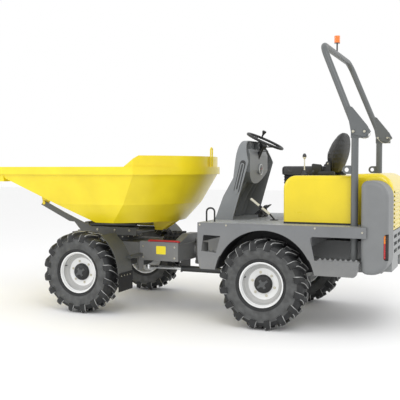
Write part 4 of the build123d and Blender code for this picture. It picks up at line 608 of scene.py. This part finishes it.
pod_levels = [(pod_inner, 0.0), *arc(pod_outer - pod_edge, pod_edge, pod_edge, -90, 0, 8),
              (pod_outer, pod_edge + 0.004), (pod_outer, pod_edge + 0.012)]
pods = []
lenses = []
for side in (1, -1):
    pod = skinned("pod", [[(x, side * y, z) for x, z in pod_ring(inset)] for y, inset in pod_levels], pod_plastic,
                  pocket_plastic)
    pocket = plate("pocket", [(-2.13, 0.93), (-2.13, 0.7), *arc(-2.075, 0.725, 0.025, 270, 360, 5),
                              *arc(-2.075, 0.905, 0.025, 0, 90, 5)], 0.09, upright(side * 0.835), pod_plastic,
                   pocket_plastic)
    for face in pocket.data.polygons:
        face.material_index = 1
    cut = pod.modifiers.new("lamp pocket", "BOOLEAN")
    cut.object = pocket
    cut.operation = "DIFFERENCE"
    cut.solver = "EXACT"
    pods.append(grown(pod, "pod"))
    bpy.data.objects.remove(pocket, do_unlink=True)
    lenses.append(plate("lens", [(side * y, z) for y, z in rounded(0.809, 0.815, 0.721, 0.909, 0.012)], 0.014,
                        lambda u, v, w: (-2.0565 + w, u, v), bevel=0.002))
fitted(joined("corner_pods", pods, pod_plastic, pocket_plastic, smooth_deg=35), "rear_frame", "frame_grey",
       "side_pods")
finish_nodes(sprayed_enamel("light grey enamel", "#8B8E8F", 0.4, dust=0.2), "rear_bumper")

# Each rear wheel runs in an arch liner, a 3 mm sheet bent round the opening and screwed to the side panel's edge. The
# sheet is matt and coloured black as painted shade inside the arch.
liner_middle = (-0.965, 0.447)
liner_sheets = []
for side in (1, -1):
    for outer, inner, wide, y in ((0.4805, 0.4775, 0.262, 0.707), (0.4785, 0.35, 0.003, 0.5775)):
        outline = arc(*liner_middle, outer, 12, 168, 48) + arc(*liner_middle, inner, 168, 12, 48)
        liner_sheets.append(plate("liner", outline, wide, upright(side * y)))
# The liner sheets' black is painted shade in the wheel arch.
arch_shade_plastic = pebbled_moulding("black sheet as painted arch shade", "#17181A", roughness=0.6)
fitted(joined("arch_liners", liner_sheets, arch_shade_plastic, smooth_deg=30), "rear_frame", "black_paint")

# The tail lamps are acrylic lenses, amber over red: glossy, with upright ribs 6 mm apart inside.
# Twenty waves of Blender's wave pattern take two pi of its scale.
wave = 20 / (2 * pi)
ribbed_lens = surface("ribbed acrylic lens", linear("#B3121A"), None, 0.12,
                      (("Wave", 6 * wave, {}, {"bands_direction": "Z"}), 0.3, 0.001), band=(1.35, 0.5, "#E8821E"),
                      Coat_Weight=0.6)
fitted(joined("tail_lamp_lenses", lenses, ribbed_lens), "rear_frame", "lamp_lens", "tail_lamps")

# The bonnet and the seat box are pressed sheet steel; the bonnet's louvres are lips pressed outwards
# under each slot. Cover enamel is a clean yellow with a clear gloss and hardly any peel.
cover_enamel = sprayed_enamel("yellow cover enamel", "#E3CB14", 0.28, coat=0.35, drift=0.03, peel=0.06)
finish_nodes(cover_enamel, "bonnet", "seat_box")
lip_section = ((0.001, 0.0125), (-0.0035, 0.011), (-0.0085, 0.002), (-0.0095, -0.006), (-0.0078, -0.006),
               (-0.0068, 0.002), (-0.002, 0.0095), (0.001, 0.0105))
louvre_lips = [
    plate("lip", [(-2.078 + u, 0.965 + 0.04 * row + v) for u, v in lip_section], 0.352, upright(column_y))
    for column_y in (0.215, -0.215) for row in range(9)
]
fitted(joined("bonnet_louvre_lips", louvre_lips, cover_enamel), "bonnet", "machine_yellow")


# The front frame's box carries a blank yellow plate, riveted on its near face, and a red lock bar
# that keeps the joint straight for transport. Short pressure hoses leave the valve block's unions.
def tube(name, points, radius, finish, smooth=True, sides=12):
    """Round bar, pipe or hose along the points, bent smoothly or with corners."""
    line = bpy.data.curves.new(name, "CURVE")
    line.dimensions = "3D"
    spline = line.splines.new("NURBS" if smooth else "POLY")
    spline.points.add(len(points) - 1)
    for at, point in enumerate(points):
        spline.points[at].co = (*point, 1)
    if smooth:
        spline.order_u = 3
        spline.use_endpoint_u = True
        spline.resolution_u = 8
    line.bevel_depth = radius
    line.bevel_resolution = max(1, sides // 4 - 1)
    line.use_fill_caps = True
    line.materials.append(finish)
    return grown(new_object(name + "_line", line), name, 50)


finish_nodes(sprayed_enamel("red enamel", "#B0252A", 0.35, peel=0.08), "lock_bar")
plate_paint = sprayed_enamel("yellow printed aluminium", "#F2DE2C", 0.4, peel=0.03, drift=0.02)
fitted(plate("blank_plate", rounded(0.26, 0.356, 0.604, 0.675, 0.008), 0.0012, upright(0.4008), plate_paint),
       "front_frame", "machine_yellow")
screws("blank_plate_rivets", "front_frame", 2.6, [
    ((x, 0.4014, z), (0, 1, 0)) for x in (0.2605, 0.3555) for z in (0.604, 0.675)
])
hose_rubber = tyre_rubber("extruded hose rubber", "#1A1A1B")
hoses = []
for at, start_x in enumerate((0.245, 0.285, 0.325, 0.365)):
    route = ((start_x, 0.126, 0.752), (start_x, 0.165, 0.757), (start_x - 0.01, 0.215 + 0.012 * at, 0.752),
             (start_x - 0.05, 0.24 + 0.02 * at, 0.739), (start_x - 0.09, 0.235 + 0.02 * at, 0.7345),
             (0.165, 0.2 + 0.02 * at, 0.7345), (0.125, 0.19 + 0.018 * at, 0.733))
    hoses += [tube("hose", [(x, side * y, z) for x, y, z in route], 0.0075, hose_rubber) for side in (1, -1)]
fitted(joined("valve_hoses", hoses, hose_rubber, smooth_deg=50), "front_frame", "flap_rubber")
# The slew ring is turned steel, painted: its finer peel follows the tool marks.
finish_nodes(sprayed_enamel("turned ring steel", "#4B4D4E", 0.38, peel_mm=1.2, peel=0.1), "slew_ring")
ring_turns = [radians(turn * 15 + 7.5) for turn in range(24)]
screws("slew_ring_screws", "front_frame", 9, [
    ((x, y, 0.745), (cos(angle), sin(angle), 0))
    for (x, y), angle in zip(on_circle((1.04, 0), 0.2605, ring_turns), ring_turns)
])

# The seat box's lid carries the operator's seat: polyurethane foam under vinyl, with two sewn
# channels, in a polypropylene shell. Vinyl is soft black with a leather grain of about 3 mm.
seat_vinyl = surface("grained seat vinyl", shades("#2A2A2A", 0.8, 1.25), ("Noise", 80, {"Detail": 4.0}),
                     (0.36, 0.52), (("Voronoi", 3.2, {}, {"feature": "DISTANCE_TO_EDGE"}), 0.35, 0.0006))
shell_plastic = pebbled_moulding("black polypropylene", "#232424", grain_mm=2.4, roughness=0.5)
foam_voxel = 0.006
foam_swell = 0.010


def foam_pad(name, pad):
    """Pad grown from a foam block: shrunk, remeshed and swollen under pressure."""
    remesh = pad.modifiers.new("foam grid", "REMESH")
    remesh.mode = "VOXEL"
    remesh.voxel_size = foam_voxel
    shrink = pad.modifiers.new("cut short", "DISPLACE")
    shrink.strength = -0.007
    shrink.mid_level = 0.0
    pad = grown(pad, name)
    before = [vertex.co.copy() for vertex in pad.data.vertices]
    skin_cloth = pad.modifiers.new("skin", "CLOTH")
    skin_cloth.settings.use_pressure = True
    skin_cloth.settings.uniform_pressure_force = 4.0
    skin_cloth.settings.tension_stiffness = 30
    skin_cloth.settings.compression_stiffness = 30
    skin_cloth.settings.effector_weights.gravity = 0.0
    for step in range(1, 21):
        bpy.context.scene.frame_set(step)
    pad = grown(pad, name + "_swollen")
    bpy.context.scene.frame_set(1)
    for start, vertex in zip(before, pad.data.vertices):
        move = vertex.co - start
        if move.length > foam_swell:
            vertex.co = start + move * (foam_swell / move.length)
    pad.data.materials.clear()
    return pad


def sewn(pad, name, depth_at, *finishes):
    """One subdivision, then the seams pressed in along the surface's own normals."""
    finer = pad.modifiers.new("finer", "SUBSURF")
    finer.levels = 1
    finer.render_levels = 1
    finer = grown(pad, name)
    shape = finer.data
    moves = [vertex.normal * depth_at(vertex.co, vertex.normal) for vertex in shape.vertices]
    for vertex, move in zip(shape.vertices, moves):
        vertex.co -= move
    bpy.data.objects.remove(finer, do_unlink=True)
    return new_object(name, shape, *finishes, smooth_deg=80)


def groove(distance, width, depth):
    return depth * exp(-(distance / width) ** 2)


def channels(across, along, half_wide, lines, depth):
    """Two channels beside the middle, joined by cross seams at the lines."""
    cross = max(groove(along - line, 0.005, 0.004) for line in lines)
    return max(groove(abs(across) - half_wide, 0.005, depth), cross if abs(across) < half_wide else 0.0)


def cushion_seams(place, normal):
    lines = (-1.36, -1.24, -1.12, -0.99)
    if place.z < 1.475:
        return 0.0
    if lines[0] < place.x < lines[-1]:
        return channels(place.y, place.x, 0.125, lines, 0.006)
    return max(groove(place.x - line, 0.005, 0.004) for line in lines) if abs(place.y) < 0.125 else 0.0


cushion_form = bmesh.new()
cushion_form.from_mesh(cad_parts["seat_cushion"].data)
bmesh.ops.remove_doubles(cushion_form, verts=cushion_form.verts, dist=1e-5)
bmesh.ops.recalc_face_normals(cushion_form, faces=cushion_form.faces)
cushion = sewn(foam_pad("seat_cushion_foam", shaped("seat_cushion_block", cushion_form)), "seat_cushion_pad",
               cushion_seams, seat_vinyl)
fitted(cushion, "rear_frame", "seat_vinyl", "seat_cushion")

# The backrest wraps round the driver: its shell is deepest at the elbows, narrows to the top, and
# its cushion is set back between two side rolls. Rows are height, front, rear, half width, setback.
back_rows = (
    (1.447, -1.424, -1.472, 0.135, 0.004), (1.462, -1.412, -1.492, 0.165, 0.008),
    (1.50, -1.396, -1.512, 0.195, 0.018), (1.55, -1.380, -1.535, 0.215, 0.030),
    (1.60, -1.368, -1.554, 0.226, 0.040), (1.645, -1.368, -1.568, 0.230, 0.044),
    (1.69, -1.386, -1.576, 0.226, 0.040), (1.74, -1.416, -1.580, 0.214, 0.030),
    (1.79, -1.452, -1.579, 0.192, 0.018), (1.83, -1.484, -1.574, 0.162, 0.010),
    (1.858, -1.510, -1.566, 0.125, 0.004), (1.871, -1.528, -1.556, 0.085, 0.0),
)
back_rings = []
for height, front_x, rear_x, half_wide, setback in back_rows:
    ring = []
    for step in range(48):
        run, across = cos(2 * pi * step / 48), sin(2 * pi * step / 48)
        y = half_wide * copysign(abs(across) ** 0.8, across)
        x = (front_x + rear_x) / 2 + (front_x - rear_x) / 2 * copysign(abs(run) ** 0.75, run)
        ring.append((x - setback * max(0, run) * (1 - (y / half_wide) ** 2), y, height))
    back_rings.append(ring)


def shell_line(height):
    """Where the vinyl meets the plastic shell behind, as x at a height."""
    for low, high in zip(back_rows, back_rows[1:]):
        if low[0] <= height <= high[0]:
            share = (height - low[0]) / (high[0] - low[0])
            front_x, rear_x = (low[at] + (high[at] - low[at]) * share for at in (1, 2))
            return rear_x + 0.42 * (front_x - rear_x)
    return -1.522


def backrest_seams(place, normal):
    seam = groove(place.x - shell_line(place.z), 0.004, 0.005) if abs(normal.x) < 0.9 else 0.0
    if normal.x < 0.2 or not 1.50 < place.z < 1.83:
        return seam
    return max(seam, channels(place.y, place.z, 0.115, (1.53, 1.61, 1.69, 1.77), 0.005))


backrest = sewn(foam_pad("seat_back_foam", skinned("seat_back_block", back_rings)), "seat_back_pad", backrest_seams,
                seat_vinyl, shell_plastic)
for face in backrest.data.polygons:
    if face.center.x < shell_line(face.center.z):
        face.material_index = 1
fitted(backrest, "rear_frame", "seat_vinyl", "seat_back")

# The bellows round the seat's suspension is a folded skirt of moulded rubber; belt brackets of 4 mm
# plate, the reels and the buckles are bolted to both sides of the seat.
bellows_low, bellows_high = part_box("seat_base")
bellows_high.x = -0.965
bellows_round = 0.04
fold_count = 3
bellows_rings = []
for row in range(fold_count * 4 + 1):
    share = row / (fold_count * 4)
    height = bellows_low.z + 0.0005 + (bellows_high.z - bellows_low.z) * share
    swell = 0.007 * (1 - cos(2 * pi * fold_count * share)) / 2 - 0.004
    bellows_rings.append([(x, y, height) for x, y in rounded(
        bellows_low.x + bellows_round, bellows_high.x - bellows_round, bellows_low.y + bellows_round,
        bellows_high.y - bellows_round, bellows_round + swell, 6)])
fitted(skinned("seat_bellows", bellows_rings, tyre_rubber("moulded bellows rubber", "#1E1E1F"), smooth_deg=50),
       "rear_frame", "seat_vinyl", "seat_base")
bracket_outline = [(-1.478, 1.4355), (-1.378, 1.4355), (-1.378, 1.452), (-1.402, 1.475),
                   *arc(-1.427, 1.549, 0.024, 0, 180), (-1.452, 1.475), (-1.478, 1.452)]
reel_outline = [(-1.5, 1.4365), (-1.34, 1.4365), *arc(-1.36, 1.455, 0.02, 0, 90, 6),
                *arc(-1.48, 1.455, 0.02, 90, 180, 6)]
buckle_outline = [*arc(-1.29, 1.535, 0.014, 0, 90, 5), *arc(-1.355, 1.528, 0.014, 90, 180, 5), (-1.372, 1.448),
                  (-1.336, 1.448), *arc(-1.29, 1.507, 0.014, 270, 360, 5)]
brackets = [
    plate("bracket", outline, wide, upright(side * y), bevel=bevel) for side in (1, -1)
    for outline, wide, y, bevel in ((bracket_outline, 0.004, 0.2415, 0.001), (reel_outline, 0.044, 0.268, 0.004),
                                    (buckle_outline, 0.04, 0.262, 0.004))
]
fitted(joined("belt_brackets", brackets, shell_plastic, smooth_deg=40), "rear_frame", "black_paint")
screws("belt_bracket_screws", "rear_frame", 8, both_sides(0.2437, [(-1.427, 1.549)]))

# The drive lever stands in a moulded rubber gaiter on the seat box's lid. Its stem is satin nickel
# plate, warm and pale, and its knob is black polyamide, as dull.
lever_finish = surface("plated stem and polyamide knob", linear("#2B2C2D"), None, 0.35, (("Noise", 3), 0.15, 0.0006),
                       band=(1.5495, 0.0625, "#C8C4B4"))
finish_nodes(lever_finish, "drive_lever")
lever_gaiter = turned("drive_lever_gaiter", (
    (0.0, 0.0), (0.034, 0.0), (0.034, 0.006), (0.026, 0.009), (0.027, 0.014), (0.02, 0.018), (0.021, 0.023),
    (0.014, 0.027), (0.015, 0.032), (0.0, 0.033),
), 32, Matrix.Translation((-1.23, 0.38, 1.4362)) @ Matrix.Rotation(radians(90), 4, "X"), casing_rubber)
fitted(lever_gaiter, "rear_frame", "wheel_plastic")

# The dashboard is one rotation moulded shell in mid grey, with two soft pads a side for the knees. Its
# gauge is a black dial in a pale bezel, and the stalks of the switches stand by the column.
finish_nodes(pebbled_moulding("mid grey polyethylene", "#7A7D7F", roughness=0.44), "dash_console")
pad_lean = radians(14)
pad_plates = []
for side in (1, -1):
    for reach, wide, level in ((0.168, 0.03, 0.4156), (0.13, 0.007, 0.4225)):
        ends = arc(reach - wide, 0, wide, -90, 90, 8) + arc(wide - reach, 0, wide, 90, 270, 8)
        outline = [(-0.5787 - across * cos(pad_lean) - along * sin(pad_lean),
                    1.4202 + along * cos(pad_lean) - across * sin(pad_lean)) for along, across in ends]
        pad_plates.append(plate("pad", outline, 0.003, upright(side * level), bevel=0.001))
fitted(joined("dash_pads", pad_plates, tyre_rubber("moulded pad rubber", "#3A3B3C")), "rear_frame", "flap_rubber")

gauge = Vector((-0.658, -0.03, 1.492))
sideways = Matrix.Rotation(radians(90), 4, "Z")
bezel_plastic = sprayed_enamel("pale bezel plastic", "#C9CBC9", 0.3, peel=0.02, drift=0.02)
bezel = turned("gauge_bezel", (
    (0.047, -0.004), (0.058, -0.004), (0.058, 0.004), (0.0555, 0.007), (0.0525, 0.007), (0.0495, 0.003),
    (0.047, 0.002),
), 64, Matrix.Translation(gauge + Vector((0.003, 0, 0))) @ sideways, bezel_plastic, loop=True)
fitted(bezel, "rear_frame", "panel_black")

# The dial is screen printed: white marks every 30 degrees near the edge of a glossy black face.
dial_finish, dial_tree, dial_shader, dial_spot = new_finish("printed dial")
dial_centred = add_node(dial_tree, "Mapping", {"Vector": dial_spot, "Location": (0, -gauge.y, -gauge.z)})
dial_axes = add_node(dial_tree, "SeparateXYZ", {"Vector": dial_centred}).outputs
dial_mark = dial_axes["Y"]
for operation, value in (("ARCTAN2", dial_axes["Z"]), ("PINGPONG", pi / 12), ("LESS_THAN", 0.035)):
    dial_mark = add_node(dial_tree, "Math", {0: dial_mark, 1: value}, operation=operation)
dial_flat = add_node(dial_tree, "CombineXYZ", {"X": dial_axes["Y"], "Y": dial_axes["Z"]})
dial_reach = add_node(dial_tree, "VectorMath", {0: dial_flat}, operation="LENGTH").outputs["Value"]
dial_outer = add_node(dial_tree, "Math", {0: dial_reach, 1: 0.036}, operation="GREATER_THAN")
dial_mark = add_node(dial_tree, "Math", {0: dial_mark, 1: dial_outer}, operation="MULTIPLY")
dial_colour = add_node(dial_tree, "Mix", {"Factor": dial_mark, 6: linear("#0E0E0F"), 7: linear("#E8E8E4")},
                       data_type="RGBA")
feed(dial_tree, dial_shader.inputs["Base Color"], dial_colour.outputs[2])
dial_shader.inputs["Roughness"].default_value = 0.18
dial = turned("gauge_dial", ((0.0, -0.003), (0.0475, -0.003), (0.0475, 0.0012), (0.046, 0.0022), (0.0, 0.0022)), 64,
              Matrix.Translation(gauge + Vector((0.001, 0, 0))) @ sideways, dial_finish)
fitted(dial, "rear_frame", "panel_black")
needle = plate("gauge_needle", [(-0.002, -0.008), (0.002, -0.008), (0.0012, 0.034), (-0.0012, 0.034)], 0.0012,
               lambda u, v, w: gauge + Vector((-0.002 - w, u * 0.5 - v * 0.86, u * 0.86 + v * 0.5)),
               sprayed_enamel("red needle paint", "#C22A22", 0.4, peel=0.02))
fitted(needle, "rear_frame", "panel_black")

# The steering column and its switches' stalks are moulded in polyamide: black, a little glossy, with
# a fine 2 mm pebble.
polyamide = pebbled_moulding("black polyamide", "#1F2021", grain_mm=2.0, roughness=0.46)
finish_nodes(polyamide, "steering_column")
wheel_centre = Vector((-0.71, 0, 1.786))
column_way = Vector((-0.42262, 0, 0.90631))
stalks = []
for side, rise in ((1, 0.012), (-1, 0.004)):
    near = wheel_centre - column_way * 0.115 + Vector((0, side * 0.024, 0))
    far = near + Vector((-0.02, side * 0.12, rise))
    tip = far + (far - near).normalized() * 0.022
    stalks += [tube("stalk", (near, near.lerp(far, 0.5), far), 0.0055, polyamide),
               tube("grip", (far - (far - near) * 0.03, far.lerp(tip, 0.5), tip), 0.009, polyamide)]
fitted(joined("switch_stalks", stalks, polyamide, smooth_deg=50), "rear_frame", "wheel_plastic")

# The steering wheel is a steel ring and three flat spokes moulded over with the same black plastic,
# finger grips pressed into its underside, and a spinner knob on the rim.
wheel_radius = 0.195
rim_thick = 0.0138
dish = 0.052
wheel_lean = Matrix.Translation(wheel_centre) @ Matrix.Rotation(radians(-25), 4, "Y")
rim_rings = []
for turn in range(180):
    angle = 2 * pi * turn / 180
    ring = []
    for at in range(14):
        around = 2 * pi * at / 14
        grip = 0.0016 * max(0.0, -sin(around)) * (0.5 + 0.5 * cos(angle * 36))
        reach = wheel_radius + (rim_thick - grip) * cos(around)
        ring.append(wheel_lean @ Vector((reach * cos(angle), reach * sin(angle),
                                         (rim_thick - grip) * sin(around))))
    rim_rings.append(ring)
wheel_parts = [skinned("ring", rim_rings, wrap=True)]
for spoke_deg in (90, 210, 330):
    spoke_turn = wheel_lean @ Matrix.Rotation(radians(spoke_deg), 4, "Z")
    wheel_parts.append(skinned("spoke", [
        [spoke_turn @ Vector((0.03 + (wheel_radius - 0.034) * share, across * (0.019 - 0.008 * share),
                              up - dish * (1 - share) ** 1.3))
         for across, up in ((-1, -0.0045), (-0.7, 0.0045), (0.7, 0.0045), (1, -0.0045))]
        for share in (0.0, 0.25, 0.5, 0.75, 1.0)
    ]))
for profile, steps, place in (
    (((0.0, 0.0), (0.028, 0.0), (0.037, 0.004), (0.042, 0.012), (0.042, 0.03), (0.036, 0.038), (0.033, 0.047),
      (0.026, 0.052), (0.0, 0.055)), 48, (0, 0, -dish - 0.022)),
    (((0.0, 0.0), (0.008, 0.0), (0.009, 0.02), (0.011, 0.034), (0.018, 0.05), (0.0225, 0.06), (0.0225, 0.068),
      (0.017, 0.075), (0.0, 0.077)), 32, (0.10, -0.158, 0.008)),
):
    wheel_parts.append(turned("boss", profile, steps, wheel_lean @ Matrix.Translation(place)
                              @ Matrix.Rotation(radians(90), 4, "X")))
fitted(joined("steering_wheel_moulding", wheel_parts, polyamide, smooth_deg=45), "steering_wheel", "wheel_plastic",
       "steering_wheel")

# The foot well holds two pressed pedals with ribbed rubber pads and the hand brake, a flat lever
# with a pale sleeve of dipped vinyl, soft and a little uneven, and a black band.
finish_nodes(powder_coat("black powder coat", "#232425", roughness=0.45), "foot_controls", "deck_loops")
sleeve_vinyl = sprayed_enamel("pale vinyl sleeve", "#D9D6C6", 0.45, peel=0.15)
band_rubber = tyre_rubber("black band rubber", "#161617")
brake_low = Vector((-0.865, 0.3, 1.038))
brake_high = Vector((-0.655, 0.3, 1.198))
for piece, first, last, finish in (("hand_brake_sleeve_low", 0.04, 0.42, sleeve_vinyl),
                                   ("hand_brake_band", 0.42, 0.56, band_rubber),
                                   ("hand_brake_sleeve_high", 0.56, 0.99, sleeve_vinyl)):
    line = [brake_low.lerp(brake_high, share) for share in (first, (first + last) / 2, last)]
    fitted(tube(piece, line, 0.0125, finish, sides=16), "rear_frame", "black_paint")
pad_section = [(-0.045, 0.0)]
for rib in range(6):
    left = -0.045 + rib * 0.0155
    pad_section += [(left + 0.002, 0.0045), (left + 0.009, 0.0045), (left + 0.011, 0.002), (left + 0.0155, 0.002)]
pad_section += [(0.048, 0.0)]
pedal_lean = radians(50)
run, rise = cos(pedal_lean), sin(pedal_lean)
pedal_pads = [
    plate("pad", [(-0.651 - u * run - (v + 0.0005) * rise, 1.045 - u * rise + (v + 0.0005) * run)
                  for u, v in pad_section], 0.066, upright(pedal_y)) for pedal_y in (-0.09, -0.23)
]
fitted(joined("pedal_pads", pedal_pads, band_rubber), "rear_frame", "flap_rubber")

# The roll bar is 60 mm tube, bent over at the top, on hinged heads of welded plate over two posts, in
# powder coat like the guards'. Plated pins hold the heads; a spring wire clip keeps each lock pin in.
finish_nodes(powder_coat("grey powder coat", "#5F6263", roughness=0.4), "rops_posts", "rops_bar")
pin_profile = ((0.0, 0.0), (0.0125, 0.0), (0.0125, 0.004), (0.0105, 0.007), (0.0, 0.008))
clip_line = ((-1.763, 0.056, 1.822), (-1.795, 0.058, 1.78), (-1.86, 0.060, 1.765), (-1.90, 0.060, 1.80),
             (-1.885, 0.058, 1.835), (-1.861, 0.056, 1.832))
for hand, side in (("left", 1), ("right", -1)):
    for pin, pin_x, pin_z in (("fold_pin", -1.861, 1.828), ("lock_pin", -1.763, 1.83)):
        heads = [turned("head", pin_profile, 28, Matrix.Translation((pin_x, side * 0.7 + way * 0.0455, pin_z))
                        @ Matrix.Diagonal((1, way, 1, 1))) for way in (1, -1)]
        fitted(joined(f"{pin}_heads_{hand}", heads, zinc, smooth_deg=40), "rops", "ring_steel")
    clip = tube("lock_clip_" + hand, [(x, side * (0.7 - inwards), z) for x, inwards, z in clip_line], 0.0022, zinc)
    fitted(clip, "rops", "ring_steel")

# The beacon is an amber dome over a black base on a steel spigot at the roll bar's top. Moulded
# polycarbonate is glossy, with lens rings 8 mm apart.
finish_nodes(surface("amber polycarbonate", linear("#26272A"), None, 0.15,
                     (("Wave", 8 * wave, {}, {"bands_direction": "Z"}), 0.3, 0.001), band=(3.252, 0.5, "#F07A22"),
                     Coat_Weight=0.5), "beacon")

# The skip is a welded steel shell in yellow enamel, a warmer and duller coat than the covers'. Loads
# drag fine scratches along it, 12 mm apart, which take off some of its gloss.
finish_nodes(surface("yellow skip enamel", (linear("#E3CB12"), linear("#F0DA1E")), ("Noise", 320, {"Detail": 5.0}),
                     (0.33, 0.42), (("Noise", 2.6), 0.08, 0.0008),
                     scuff=("Noise", 12, {"Detail": 5.0}, {}, (0.12, 1.0, 0.5)), span=(0.3, 0.7),
                     scuff_span=(0.60, 0.70), Coat_Weight=0.25, Coat_Roughness=0.15), "skip")

# The steering and tipping cylinders have honed barrels in black enamel and hard chromed rods, which
# are mirror bright with a polish that varies over 14 mm or so.
finish_nodes(surface("hard chromed rod", linear("#D8DADB"), None, (0.08, 0.2), scuff=("Noise", 14, {"Detail": 4.0}),
                     Metallic=1.0), "tip_rod", "steer_rod")
finish_nodes(sprayed_enamel("black cylinder enamel", "#2B2D2E", 0.35, peel=0.1, coat=0.2), "tip_barrel",
             "steer_barrel")
